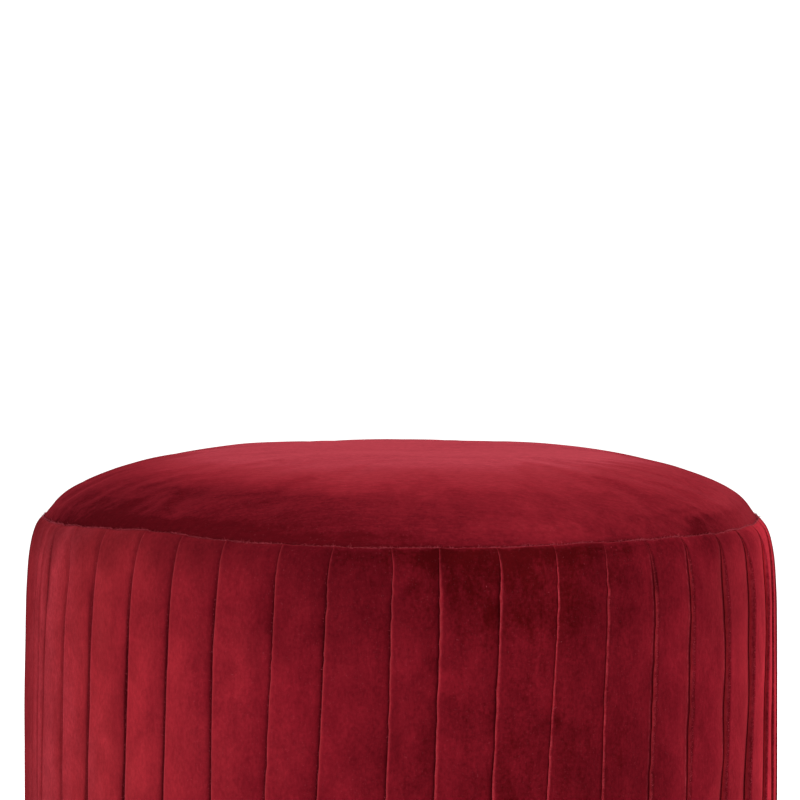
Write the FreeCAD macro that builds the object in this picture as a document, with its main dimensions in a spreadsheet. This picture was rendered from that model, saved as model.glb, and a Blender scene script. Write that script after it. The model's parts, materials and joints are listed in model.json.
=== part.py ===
import FreeCAD, Part
import math
import os
import Sketcher
from FreeCAD import Placement, Rotation, Vector

# Round drum-shaped stool, upholstered in velvet: a crowned top panel sewn to
# a knife-pleated side band, over foam, a wrapped shell and a plywood and pine
# frame, standing on four screw-in levelling glides.
# Origin: centre of the floor circle. +Z up, front towards -Y. Millimetres.

doc = FreeCAD.newDocument("drum_stool")

# ---------------------------------------------------------------- dimensions
# alias, value, note
ROWS = [
    ("seat_height", 450, "floor to the top of the crown"),
    ("body_radius", 200, "outside of the pleated band at the folds"),
    ("seam_level", 414, "height of the top seam"),
    ("seam_radius", 189, "radius of the top seam"),
    ("cover_bottom", 18, "underside of the turned-under velvet"),
    ("pleat_count", 45, "knife pleats round the band"),
    ("pleat_step", 2.2, "step at each fold"),
    ("band_inside", 196.2, "inside radius of the pleated band"),
    ("velvet", 2, "top panel thickness with pile"),
    ("turned_edge", 1.8, "thickness of the velvet under the base"),
    ("turned_radius", 165, "inner edge of the velvet under the base"),
    ("crown_big_arc", 2001.9, "flat middle arc of the crown"),
    ("crown_mid_arc", 172.2, "shoulder arc of the crown"),
    ("crown_edge_arc", 36.65, "edge arc of the crown"),
    ("crown_mid_start", 3.0389, "arc change, degrees from upright"),
    ("crown_edge_start", 26.0909, "arc change, degrees from upright"),
    ("layer_gap", 0.3, "air between soft layers"),
    ("wadding", 4, "wadding thickness"),
    ("wadding_side", 186, "outside radius of the wadding skirt"),
    ("wadding_lift", 0.5, "wadding skirt above the firm foam"),
    ("flange_length", 10, "seam allowance, hanging down"),
    ("board_radius", 184, "plywood boards"),
    ("board", 15, "plywood board thickness"),
    ("base_level", 20, "underside of the base board"),
    ("seat_board_top", 375, "upper face of the seat board"),
    ("vent_radius", 12.5, "breather holes in the seat board"),
    ("vent_circle", 95, "radius of the breather hole circle"),
    ("vent_count", 4, "breather holes round the middle one"),
    ("hoop_inside", 134, "inside radius of the middle hoop"),
    ("hoop", 12, "middle hoop thickness"),
    ("hoop_level", 191, "underside of the middle hoop"),
    ("hoop_pilot", 12.5, "depth of the pilot holes in the hoop"),
    ("notch_gap", 0.1, "clearance of the hoop notches round the posts"),
    ("upright_count", 6, "posts"),
    ("upright_side", 28, "square section of a post"),
    ("upright_circle", 168.5, "radius of the post centres"),
    ("first_upright", 30, "degrees"),
    ("shell", 3, "bending board thickness"),
    ("shell_gap", 1, "butt gap of the bending board"),
    ("foam_outside", 195.4, "outside radius of the side foam"),
    ("foam_chamfer", 4, "lower edge of the side foam"),
    ("seat_foam", 25, "firm foam disc thickness"),
    ("seat_foam_radius", 194.8, "firm foam disc"),
    ("crown_side", 181.7, "side radius of the crown foam"),
    ("screw_radius", 2, "4 mm wood screw"),
    ("screw_head", 4, "countersunk head radius"),
    ("screw_length", 40, "overall"),
    ("screw_point", 4, "length of the tapered point"),
    ("recess_depth", 1.6, "cross recess in a screw head"),
    ("bite", 0.05, "screw to hole clearance"),
    ("glide_circle", 150, "radius of the glide centres"),
    ("glide_count", 4, "glides"),
    ("first_glide", 45, "degrees"),
    ("felt_radius", 17, "felt disc"),
    ("felt", 3, "felt thickness"),
    ("pad_radius", 19, "glide pad"),
    ("pad_bottom", 1, "underside of the pad rim"),
    ("pad_top", 11, "top of the pad neck"),
    ("stud_head", 6, "radius of the flat stud head"),
    ("stud_neck", 4, "radius of the plain neck"),
    ("stud_crest", 3.95, "crest radius of the thread"),
    ("stud_root", 3.4, "root radius of the thread"),
    ("pitch", 1.25, "thread pitch"),
    ("stud_top", 52, "top of the stud at rest"),
    ("hex_top", 15, "top of the hex"),
    ("flats", 13, "across the flats of the hex"),
    ("nut_bore", 4.03, "tee nut bore"),
    ("nut_barrel", 5, "tee nut barrel radius"),
    ("nut_flange", 9.5, "tee nut flange radius"),
    ("nut_flange_thick", 1.5, "tee nut flange"),
    ("nut_depth", 10, "tee nut barrel below the flange"),
    ("prong", 6.5, "tee nut prong length"),
    ("prong_inner", 7.6, "nut axis to the inner face of a prong"),
    ("prong_outer", 8.6, "nut axis to the outer face of a prong"),
    ("prong_width", 3.2, "tee nut prong width"),
    ("dust", 0.6, "dust cover thickness"),
    ("dust_radius", 180, "dust cover"),
    ("dust_hole", 4.6, "dust cover stud holes"),
    ("staple_crown", 10, "staple width"),
    ("staple_leg", 10, "staple depth"),
    ("staple_wire", 0.6, "staple wire thickness"),
    ("staple_wide", 1.2, "staple wire width"),
    ("shell_staple_count", 12, "staples in each ring round the shell"),
    ("butt_staple_side", 6, "butt joint to each upright row of staples"),
    ("butt_staple_start", 40, "first staple of a row above the base"),
    ("butt_staple_step", 65, "spacing along a row"),
    ("cover_staple_circle", 177, "staples through the turned-under velvet"),
    ("cover_staple_count", 24, "staples through the turned-under velvet"),
    ("dust_staple_circle", 171.5, "staples through the dust cover"),
    ("dust_staple_count", 12, "staples through the dust cover"),
    ("thread_radius", 0.35, "sewing thread"),
    ("thread_gap", 0.02, "sewing thread to the velvet"),
    ("stitch_rise", 3, "stitching above the edge of the allowance"),
    ("top_allowance", 1.9, "top panel seam allowance thickness"),
    ("band_allowance", 1.5, "band seam allowance thickness"),
    ("seam_gap", 0.1, "seam to the top panel's allowance"),
    ("seam_clear", 0.45, "seam to the band's allowance, at a fold"),
]
sheet = doc.addObject("Spreadsheet::Sheet", "Dimensions")
for row, (alias, value, note) in enumerate(ROWS, 1):
    sheet.set("A%d" % row, alias)
    sheet.set("B%d" % row, str(value))
    sheet.setAlias("B%d" % row, alias)
    sheet.set("C%d" % row, note)
doc.recompute()


class Dim:
    """A length with its value and the sheet expression it comes from."""

    def __init__(self, value, text):
        self.value = float(value)
        self.text = text

    def __add__(self, other):
        other = dim(other)
        return Dim(self.value + other.value, "(%s + %s)" % (self.text, other.text))

    def __radd__(self, other):
        return dim(other) + self

    def __sub__(self, other):
        other = dim(other)
        return Dim(self.value - other.value, "(%s - %s)" % (self.text, other.text))

    def __rsub__(self, other):
        return dim(other) - self

    def __mul__(self, other):
        other = dim(other)
        return Dim(self.value * other.value, "(%s * %s)" % (self.text, other.text))

    def __rmul__(self, other):
        return dim(other) * self

    def __truediv__(self, other):
        other = dim(other)
        return Dim(self.value / other.value, "(%s / %s)" % (self.text, other.text))

    def __rtruediv__(self, other):
        return dim(other) / self

    def __neg__(self):
        return Dim(-self.value, "(0 - %s)" % self.text)


def dim(number):
    return number if isinstance(number, Dim) else Dim(number, repr(float(number)))


def cosd(angle):
    angle = dim(angle)
    return Dim(math.cos(math.radians(angle.value)), "cos(%s)" % angle.text)


def sind(angle):
    angle = dim(angle)
    return Dim(math.sin(math.radians(angle.value)), "sin(%s)" % angle.text)


def root_of(square):
    return Dim(math.sqrt(square.value), "sqrt(%s)" % square.text)


class Sizes:
    """size.alias gives the sheet's cell as a Dim."""

    def __getattr__(self, alias):
        return Dim(sheet.get(alias), "Dimensions." + alias)


size = Sizes()
pieces = []
over = 1  # how far a cut runs past the face it opens on
far = 5  # how far axis lines and open-sided cuts run past the part


# ------------------------------------------------------------------- helpers
def new_body(label, group=False):
    """Body for one piece; a group may hold several separate solids."""
    body = doc.addObject("PartDesign::Body", label)
    body.Label = label
    if group:
        body.AllowCompound = True
    pieces.append(body)
    return body


def origin_part(body, role):
    return next(item for item in body.Origin.OriginFeatures if item.Role == role)


def bind(obj, path, number):
    """Drive a property from the sheet when its number is a Dim."""
    if isinstance(number, Dim):
        obj.setExpression(path, number.text)


def new_sketch(body, name, role, offset=0, turn=0):
    """Sketch on an origin plane: offset along the plane's normal, and turn in
    degrees about the body's Z axis (XY and XZ planes only)."""
    sketch = body.newObject("Sketcher::SketchObject", body.Label + "_" + name)
    sketch.AttachmentSupport = (origin_part(body, role), "")
    sketch.MapMode = "FlatFace"
    axis = Vector(0, 0, 1) if role == "XY_Plane" else Vector(0, 1, 0)
    sketch.AttachmentOffset = Placement(Vector(0, 0, dim(offset).value),
                                        Rotation(axis, dim(turn).value))
    bind(sketch, "AttachmentOffset.Base.z", offset)
    bind(sketch, "AttachmentOffset.Rotation.Angle", turn)
    return sketch


def pin(sketch, geo, pos, x, y):
    """Fix a sketch point at x, y, bound to the sheet where they are Dims."""
    for kind, number, axis in (("DistanceX", x, -2), ("DistanceY", y, -1)):
        place = dim(number)
        if abs(place.value) < 1e-9:
            sketch.addConstraint(Sketcher.Constraint("PointOnObject", geo, pos, axis))
            continue
        ends = (-1, 1, geo, pos)
        if place.value < 0:
            place = -place
            ends = (geo, pos, -1, 1)
        index = sketch.addConstraint(Sketcher.Constraint(kind, *ends, place.value))
        if isinstance(number, Dim):
            bind(sketch, "Constraints[%d]" % index, place)


def fix_radius(sketch, geo, radius):
    index = sketch.addConstraint(Sketcher.Constraint("Radius", geo, dim(radius).value))
    bind(sketch, "Constraints[%d]" % index, radius)


def arc_between(start, end, radius, side):
    """Minor arc bulging to the left (+1) or right (-1) of start to end."""
    chord = end - start
    left = Vector(-chord.y, chord.x, 0).normalize()
    rise = math.sqrt(radius * radius - (chord.Length / 2) ** 2)
    centre = (start + end) * 0.5 - left * (side * rise)
    first, last = (start, end) if side < 0 else (end, start)
    from_angle = math.atan2(first.y - centre.y, first.x - centre.x)
    to_angle = math.atan2(last.y - centre.y, last.x - centre.x)
    while to_angle < from_angle:
        to_angle += 2 * math.pi
    return Part.ArcOfCircle(Part.Circle(centre, Vector(0, 0, 1), radius), from_angle, to_angle)


def outline(sketch, points, arcs=None):
    """Closed outline through points; arcs maps an edge's index to a pair of
    radius and side: +1 bulges to the left of the edge's direction, -1 right."""
    arcs = arcs or {}
    count = len(points)
    corners = [Vector(dim(x).value, dim(y).value, 0) for x, y in points]
    edges = []  # geometry index, and which of its ends (1 or 2) the edge starts from
    for i in range(count):
        start, end = corners[i], corners[(i + 1) % count]
        start_pos = 1
        if i in arcs:
            radius, side = arcs[i]
            shape = arc_between(start, end, dim(radius).value, side)
            start_pos = 1 if side < 0 else 2
        else:
            shape = Part.LineSegment(start, end)
        edges.append((sketch.addGeometry(shape, False), start_pos))
    for i, (geo, start_pos) in enumerate(edges):
        after = edges[(i + 1) % count]
        sketch.addConstraint(Sketcher.Constraint("Coincident", geo, 3 - start_pos, *after))
    for (geo, start_pos), (x, y) in zip(edges, points):
        pin(sketch, geo, start_pos, x, y)
    for i, (radius, side) in arcs.items():
        fix_radius(sketch, edges[i][0], radius)


def rectangle(sketch, left, low, right, high):
    outline(sketch, [(left, low), (right, low), (right, high), (left, high)])


def circle(sketch, x, y, radius):
    centre = Vector(dim(x).value, dim(y).value, 0)
    geo = sketch.addGeometry(Part.Circle(centre, Vector(0, 0, 1), dim(radius).value), False)
    pin(sketch, geo, 3, x, y)
    fix_radius(sketch, geo, radius)


def axis_line(sketch, start, end):
    """Construction line used as a turning axis; drawn first, it is Axis0."""
    ends = [Vector(dim(x).value, dim(y).value, 0) for x, y in (start, end)]
    geo = sketch.addGeometry(Part.LineSegment(*ends), True)
    pin(sketch, geo, 1, *start)
    pin(sketch, geo, 2, *end)


def feature(body, kind, name, sketch):
    made = body.newObject("PartDesign::" + kind, body.Label + "_" + name)
    made.Profile = sketch
    sketch.Visibility = False
    return made


def revolve(body, kind, sketch, name, axis="V_Axis"):
    made = feature(body, kind, name, sketch)
    made.ReferenceAxis = (sketch, [axis])
    made.Angle = 360
    return made


def turned(body, points, arcs=None, axis=None, name="turned"):
    """Solid turned from an XZ section, about Z or about the given line."""
    sketch = new_sketch(body, "section", "XZ_Plane")
    if axis:
        axis_line(sketch, *axis)
    outline(sketch, points, arcs)
    return revolve(body, "Revolution", sketch, name, "Axis0" if axis else "V_Axis")


def groove(body, sketch_name, axis, points, name, turn=0):
    """Cut turned from an XZ section about the given line."""
    sketch = new_sketch(body, sketch_name, "XZ_Plane", 0, turn)
    axis_line(sketch, *axis)
    outline(sketch, points)
    return revolve(body, "Groove", sketch, name, "Axis0")


def extrude(body, kind, sketch, length, name, flip):
    made = feature(body, kind, name, sketch)
    made.Length = dim(length).value
    bind(made, "Length", length)
    if flip:
        made.Reversed = True
    return made


def pad(body, sketch, length, name, midplane=False, down=False):
    made = extrude(body, "Pad", sketch, length, name, down)
    if midplane:
        made.SideType = "Symmetric"
    return made


def pocket(body, sketch, length, name, up=False):
    """Cut against the sketch's normal, or along it when up is set."""
    return extrude(body, "Pocket", sketch, length, name, up)


def round_plate(body, sketch_name, level, radii, thickness, name):
    """Level disc, or a ring when two radii are given."""
    sketch = new_sketch(body, sketch_name, "XY_Plane", level)
    for radius in radii:
        circle(sketch, 0, 0, radius)
    pad(body, sketch, thickness, name)


def hole(body, sketch_name, level, x, radius, depth, name, turn=0, up=False):
    """Upright round hole on the X axis, turned about Z, cut from level."""
    sketch = new_sketch(body, sketch_name, "XY_Plane", level, turn)
    circle(sketch, x, 0, radius)
    return pocket(body, sketch, depth, name, up)


def around(body, features, count, name="ring"):
    pattern = body.newObject("PartDesign::PolarPattern", body.Label + "_" + name)
    pattern.Originals = features
    pattern.Axis = (origin_part(body, "Z_Axis"), [""])
    pattern.Angle = 360
    pattern.Occurrences = int(round(count.value))
    bind(pattern, "Occurrences", count)
    body.Tip = pattern


def turn_body(body, angle):
    body.Placement = Placement(Vector(0, 0, 0), Rotation(Vector(0, 0, 1), angle.value))
    bind(body, "Placement.Rotation.Angle", angle)


def turns(first, count):
    """Angles of count places evenly spaced round the stool."""
    return [first + 360 / count * k for k in range(int(round(count.value)))]


def place_on_circle(body, radius, angle, level=0):
    x, y, z = radius * cosd(angle), radius * sind(angle), dim(level)
    body.Placement = Placement(Vector(x.value, y.value, z.value),
                               Rotation(Vector(0, 0, 1), angle.value))
    bind(body, "Placement.Base.x", x)
    bind(body, "Placement.Base.y", y)
    bind(body, "Placement.Base.z", z)
    bind(body, "Placement.Rotation.Angle", angle)


# ----------------------------------------------------------- derived places
seat_board_low = size.seat_board_top - size.board
base_top = size.base_level + size.board
screw_hole = size.screw_radius + size.bite
head_hole = size.screw_head + size.bite
head_taper = size.screw_head - size.screw_radius
hoop_mid = size.hoop_level + size.hoop / 2
shell_out = size.board_radius + size.shell
seat_foam_top = size.seat_board_top + size.seat_foam
flange_low = size.seam_level - size.flange_length
flange_out = size.seam_radius - size.seam_gap
band_flange = size.seam_radius + size.seam_clear


# ------------------------------------------------------------------ plywood
def countersinks(body, low, top, profile):
    """Screw holes over the posts; profile is (radius, level), bottom to top."""
    x = size.upright_circle
    points = [(x, low - over)] + [(x + radius, z) for radius, z in profile] + [(x, top + over)]
    cut = groove(body, "screw_hole", ((x, low - far), (x, top + far)), points,
                 "countersink", size.first_upright)
    around(body, [cut], size.upright_count, "countersinks")


def build_base_board():
    """Base board: bored for the nuts, countersunk from below for the screws."""
    body = new_body("base_board")
    round_plate(body, "disc", size.base_level, [size.board_radius], size.board, "plate")
    cut = hole(body, "nut_hole", base_top, size.glide_circle, size.nut_barrel + size.bite,
               size.board + over, "nut_bore", size.first_glide)
    around(body, [cut], size.glide_count, "nut_bores")
    countersinks(body, size.base_level, base_top,
                 [(head_hole + over, size.base_level - over),
                  (screw_hole, size.base_level + head_hole - screw_hole),
                  (screw_hole, base_top + over)])


def build_seat_board():
    """Seat board: breather holes for the foam, countersunk from above."""
    body = new_body("seat_board")
    top = size.seat_board_top
    depth = size.board + over
    round_plate(body, "disc", seat_board_low, [size.board_radius], size.board, "plate")
    hole(body, "middle_vent", top, 0, size.vent_radius, depth, "vent")
    cut = hole(body, "outer_vent", top, size.vent_circle, size.vent_radius, depth, "side_vent")
    around(body, [cut], size.vent_count, "side_vents")
    countersinks(body, seat_board_low, top,
                 [(screw_hole, seat_board_low - over),
                  (screw_hole, top - head_hole + screw_hole),
                  (head_hole + over, top + over)])


def build_middle_hoop():
    """Hoop notched round each post, with a pilot hole behind each notch."""
    body = new_body("middle_hoop")
    turn_body(body, size.first_upright)
    half = size.upright_side / 2 + size.notch_gap
    notch = size.upright_circle - size.upright_side / 2 - size.notch_gap
    round_plate(body, "ring", size.hoop_level, [size.board_radius, size.hoop_inside],
                size.hoop, "plate")
    sketch = new_sketch(body, "notch", "XY_Plane", size.hoop_level + size.hoop)
    rectangle(sketch, notch, -half, size.board_radius + far, half)
    cut = pocket(body, sketch, size.hoop + over, "notch_cut")
    around(body, [cut], size.upright_count, "notches")
    sketch = new_sketch(body, "pilot", "YZ_Plane", notch)
    circle(sketch, 0, hoop_mid, screw_hole)
    cut = pocket(body, sketch, size.hoop_pilot, "pilot_cut")
    around(body, [cut], size.upright_count, "pilots")


# ------------------------------------------------------------------- posts
def build_upright(number, angle):
    """Square post standing on the base board; its own +X faces outwards."""
    body = new_body("upright_%d" % number)
    side = size.upright_side / 2
    length = seat_board_low - base_top
    pilot_depth = size.screw_length - size.board + 1
    sketch = new_sketch(body, "section", "XY_Plane")
    rectangle(sketch, -side, -side, side, side)
    pad(body, sketch, length, "post")
    hole(body, "top_pilot", length, 0, screw_hole, pilot_depth, "top_hole")
    hole(body, "bottom_pilot", 0, 0, screw_hole, pilot_depth, "bottom_hole", up=True)
    # countersunk cross hole for the hoop screw, entering from the outside
    mid = hoop_mid - base_top
    groove(body, "hoop_hole", ((-side - far, mid), (side + far, mid)),
           [(-side - over, mid), (side + over, mid), (side + over, mid + head_hole + over),
            (side - head_hole + screw_hole, mid + screw_hole),
            (-side - over, mid + screw_hole)], "hoop_hole_cut")
    place_on_circle(body, size.upright_circle, angle, base_top)


# ----------------------------------------------------------------- wrapping
def build_side_shell():
    """Bending board round the frame, butted at the back."""
    body = new_body("side_shell")
    height = size.seat_board_top - size.base_level
    round_plate(body, "ring", size.base_level, [shell_out, size.board_radius], height, "wall")
    sketch = new_sketch(body, "butt", "XY_Plane", size.seat_board_top + over)
    half_gap = size.shell_gap / 2
    rectangle(sketch, -half_gap, size.board_radius - far, half_gap, shell_out + far)
    pocket(body, sketch, height + 2 * over, "butt_gap")


def build_side_foam():
    turned(new_body("side_foam"),
           [(shell_out, size.base_level),
            (size.foam_outside - size.foam_chamfer, size.base_level),
            (size.foam_outside, size.base_level + size.foam_chamfer),
            (size.foam_outside, size.seat_board_top), (shell_out, size.seat_board_top)])


# ------------------------------------------------------------- seat cushion
def build_seat_foam():
    """Firm foam disc whose side leans in towards the top."""
    lean_height, lean_mid, lean_top = 10, 0.7, 2.7
    turned(new_body("seat_foam"),
           [(0, size.seat_board_top), (size.seat_foam_radius, size.seat_board_top),
            (size.seat_foam_radius - lean_mid, size.seat_board_top + lean_height),
            (size.seat_foam_radius - lean_top, seat_foam_top), (0, seat_foam_top)])


def crown(depth, end_radius):
    """Points of the crown lowered by depth, from the axis out to end_radius,
    and the radii of its three arcs. The arcs are tangent to one another: a
    nearly flat middle, a shoulder and an edge that turns down to the seam."""
    mid_sin, mid_cos = sind(size.crown_mid_start), cosd(size.crown_mid_start)
    edge_sin, edge_cos = sind(size.crown_edge_start), cosd(size.crown_edge_start)
    big_z = size.seat_height - size.crown_big_arc
    mid_x = (size.crown_big_arc - size.crown_mid_arc) * mid_sin
    mid_z = big_z + (size.crown_big_arc - size.crown_mid_arc) * mid_cos
    edge_x = mid_x + (size.crown_mid_arc - size.crown_edge_arc) * edge_sin
    edge_z = mid_z + (size.crown_mid_arc - size.crown_edge_arc) * edge_cos
    big = size.crown_big_arc - depth
    mid = size.crown_mid_arc - depth
    edge = size.crown_edge_arc - depth
    run = end_radius - edge_x
    points = [(0, size.seat_height - depth),
              (big * mid_sin, big_z + big * mid_cos),
              (mid_x + mid * edge_sin, mid_z + mid * edge_cos),
              (end_radius, edge_z + root_of(edge * edge - run * run))]
    return points, [big, mid, edge]


def crown_layer(label, depth, thickness, radius, wall, low):
    """Crowned sheet with a skirt of the given wall, hanging down to low."""
    outer, outer_radii = crown(depth, radius)
    inner, inner_radii = crown(depth + thickness, radius - wall)
    arcs = {i: (arc, 1) for i, arc in enumerate(outer_radii)}
    arcs.update({6 + i: (arc, -1) for i, arc in enumerate(inner_radii[::-1])})
    turned(new_body(label), outer + [(radius, low), (radius - wall, low)] + inner[::-1], arcs)


wadding_depth = size.velvet + size.layer_gap


def build_crown_foam():
    points, radii = crown(wadding_depth + size.wadding + size.layer_gap, size.crown_side)
    turned(new_body("crown_foam"),
           points + [(size.crown_side, seat_foam_top), (0, seat_foam_top)],
           {i: (arc, 1) for i, arc in enumerate(radii)})


def build_seat_wadding():
    crown_layer("seat_wadding", wadding_depth, size.wadding, size.wadding_side, size.wadding,
                seat_foam_top + size.wadding_lift)


# ------------------------------------------------------------------ velvet
def build_seat_cover():
    """Top panel whose edge turns down into the seam allowance."""
    crown_layer("seat_cover", 0, size.velvet, flange_out, size.top_allowance, flange_low)


# Outside of the band's shoulder at a pleat's fold and at its tail:
# out from the seam radius, up from the seam level.
FOLD_SHOULDER = [(1.1, 0), (3.2, -1.2), (4.9, -4.3), (6.9, -10.6), (8.8, -20),
                 (9.8, -33), (10.5, -54)]
TAIL_SHOULDER = [(1.0, -0.1), (2.8, -1.3), (4.2, -4.4), (5.6, -10.7), (7.1, -20),
                 (8.0, -33), (8.5, -54)]
# Inside of the band: in from the band's inside radius, up from the seat board.
BAND_INNER = [(0, 0), (0.7, 6), (1.9, 19), (3.4, 28), (4.2, 34), (5.2, 36)]


def band_section(sketch, step, shoulder, lift):
    """Section of the band from the seam, over the shoulder and down to under
    the base; step is taken off the outside and lift off the underside."""
    seam_drop = 0.4  # top of the band's flange below the seam
    shoulder_drop = 84  # seam down to the straight side
    bend_height, bend_radius = 8, 8.4  # rounded lower outside edge
    bend_in, corner_in = 4.2, 4  # lower corners, in from the band's inside
    outside = size.body_radius - step
    bottom = size.cover_bottom
    points = [(band_flange, flange_low), (band_flange, size.seam_level - seam_drop)]
    points += [(size.seam_radius + x, size.seam_level + z) for x, z in shoulder]
    points += [(outside, size.seam_level - shoulder_drop), (outside, bottom + bend_height)]
    bend = len(points) - 1
    points += [(size.band_inside - bend_in, bottom + lift),
               (size.turned_radius, bottom + lift),
               (size.turned_radius, bottom + size.turned_edge),
               (size.band_inside - corner_in, bottom + size.turned_edge),
               (size.band_inside, size.base_level + size.foam_chamfer)]
    points += [(size.band_inside - x, size.seat_board_top + z) for x, z in BAND_INNER]
    points += [(band_flange + size.band_allowance, flange_low)]
    outline(sketch, points, {bend: (bend_radius, 1)})


def build_side_cover():
    """Side band: one knife pleat is a ruled loft from a thick section at its
    fold to a thin section at its tail, and the ring of pleats closes on itself."""
    body = new_body("side_cover")
    fold = new_sketch(body, "fold_section", "XZ_Plane")
    band_section(fold, 0, FOLD_SHOULDER, lift=0)
    tail = new_sketch(body, "tail_section", "XZ_Plane", 0, 360 / size.pleat_count)
    band_section(tail, size.pleat_step, TAIL_SHOULDER, lift=0.4)
    loft = body.newObject("PartDesign::AdditiveLoft", "side_cover_pleat")
    loft.Profile = fold
    loft.Sections = [tail]
    loft.Ruled = True
    around(body, [loft], size.pleat_count, "pleats")


def build_seam_thread():
    """Needle thread inside the allowances, bobbin thread outside."""
    body = new_body("seam_thread", group=True)
    level = flange_low + size.stitch_rise
    clear = size.thread_radius + size.thread_gap
    sketch = new_sketch(body, "threads", "XZ_Plane")
    circle(sketch, flange_out - size.top_allowance - clear, level, size.thread_radius)
    circle(sketch, band_flange + size.band_allowance + clear, level, size.thread_radius)
    revolve(body, "Revolution", sketch, "turned")


def build_dust_cover():
    """Dust cover under the base, cut out round the studs."""
    body = new_body("dust_cover")
    round_plate(body, "disc", size.cover_bottom - size.dust, [size.dust_radius],
                size.dust, "sheet")
    cut = hole(body, "stud_hole", size.cover_bottom + over, size.glide_circle, size.dust_hole,
               size.dust + 2 * over, "stud_cut", size.first_glide)
    around(body, [cut], size.glide_count, "stud_cuts")


# ------------------------------------------------------------------- screws
def cross(sketch, x, y):
    """Cross recess outline of a screw head."""
    slot, arm = 0.5, 2.2  # half width of a slot, and its half length
    corners = [(-slot, -arm), (slot, -arm), (slot, -slot), (arm, -slot), (arm, slot),
               (slot, slot), (slot, arm), (-slot, arm), (-slot, slot), (-arm, slot),
               (-arm, -slot), (-slot, -slot)]
    outline(sketch, [(x + across, y + along) for across, along in corners])


def build_board_screws(label, head, way):
    """Upright screws on the post circle; way is -1 with the point down."""
    body = new_body(label, group=True)
    turn_body(body, size.first_upright)
    x = size.upright_circle
    tip = head + way * size.screw_length
    shank = turned(body, [(x, head), (x + size.screw_head, head),
                          (x + size.screw_radius, head + way * head_taper),
                          (x + size.screw_radius, tip - way * size.screw_point), (x, tip)],
                   axis=((x, head), (x, tip)), name="shank")
    sketch = new_sketch(body, "recess", "XY_Plane", head)
    cross(sketch, x, 0)
    slot = pocket(body, sketch, size.recess_depth, "drive", up=(way > 0))
    around(body, [shank, slot], size.upright_count)


def build_hoop_screws():
    """Level screws through the posts into the hoop, pointing inwards."""
    body = new_body("hoop_screws", group=True)
    turn_body(body, size.first_upright)
    face = size.upright_circle + size.upright_side / 2
    tip = face - size.screw_length
    shank = turned(body, [(face, hoop_mid), (face, hoop_mid + size.screw_head),
                          (face - head_taper, hoop_mid + size.screw_radius),
                          (tip + size.screw_point, hoop_mid + size.screw_radius),
                          (tip, hoop_mid)],
                   axis=((face, hoop_mid), (tip, hoop_mid)), name="shank")
    sketch = new_sketch(body, "recess", "YZ_Plane", face)
    cross(sketch, 0, hoop_mid)
    slot = pocket(body, sketch, size.recess_depth, "drive")
    around(body, [shank, slot], size.upright_count)


# ------------------------------------------------------------------ staples
def staple(body, sketch, name, top, way, across=False, middle=0):
    """Flat wire bent to a U: crown at top, legs running way * depth. The crown
    lies along the sketch's first axis when across is set, else its second."""
    half, wire = size.staple_crown / 2, size.staple_wire
    tip = top + way * size.staple_leg
    under = top + way * wire
    low, high = middle - half, middle + half
    points = [(low, top), (high, top), (high, tip), (high - wire, tip), (high - wire, under),
              (low + wire, under), (low + wire, tip), (low, tip)]
    outline(sketch, points if across else [(y, x) for x, y in points])
    return pad(body, sketch, size.staple_wide, name, midplane=True)


def build_shell_staples():
    """Rings into both boards, and upright rows into the rear post."""
    body = new_body("shell_staples", group=True)
    ring_sunk, row_sunk = 0.1, 0.3  # crown below the outside of the shell
    for name, level in (("low", size.base_level + size.board / 2),
                        ("high", size.seat_board_top - size.board / 2)):
        sketch = new_sketch(body, name, "XY_Plane", level)
        one = staple(body, sketch, name + "_staple", shell_out - ring_sunk, -1)
        around(body, [one], size.shell_staple_count, name + "_ring")
    for name, side in (("left", -1), ("right", 1)):
        for k in range(5):
            low = size.base_level + size.butt_staple_start + size.butt_staple_step * k
            sketch = new_sketch(body, "%s_row_%d" % (name, k), "YZ_Plane",
                                side * size.butt_staple_side)
            staple(body, sketch, "%s_staple_%d" % (name, k), shell_out - row_sunk, -1,
                   middle=low + size.staple_crown / 2)


def build_staple_ring(label, radius, level, count):
    """Ring of staples driven up from level, starting half a space round."""
    body = new_body(label, group=True)
    turn_body(body, 180 / count)
    sketch = new_sketch(body, "staple", "YZ_Plane", radius)
    one = staple(body, sketch, "wire", level, 1, across=True)
    around(body, [one], count)


# ----------------------------------------------------------------- tee nuts
def build_tee_nuts():
    """Flange on the base board, barrel in its hole, four prongs."""
    body = new_body("tee_nuts", group=True)
    turn_body(body, size.first_glide)
    x = size.glide_circle
    axis_reach = 20
    bottom, flange_top = base_top - size.nut_depth, base_top + size.nut_flange_thick
    nut = turned(body, [(x + size.nut_bore, bottom), (x + size.nut_barrel, bottom),
                        (x + size.nut_barrel, base_top), (x + size.nut_flange, base_top),
                        (x + size.nut_flange, flange_top), (x + size.nut_bore, flange_top)],
                 axis=((x, base_top - axis_reach), (x, base_top + axis_reach)), name="nut")
    sketch = new_sketch(body, "prongs", "XY_Plane", base_top)
    half = size.prong_width / 2
    spans = ((size.prong_inner, size.prong_outer), (-size.prong_outer, -size.prong_inner))
    for low, high in spans:
        rectangle(sketch, x + low, -half, x + high, half)
    for low, high in spans:
        rectangle(sketch, x - half, low, x + half, high)
    prongs = pad(body, sketch, size.prong, "prong_set", down=True)
    around(body, [nut, prongs], size.glide_count)


# ------------------------------------------------------------------- glides
head_low = size.felt + 2
head_top = head_low + 2.5


def build_glide_felt(number, angle):
    body = new_body("glide_felt_%d" % number)
    round_plate(body, "disc", 0, [size.felt_radius], size.felt, "sheet")
    place_on_circle(body, size.glide_circle, angle)


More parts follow.
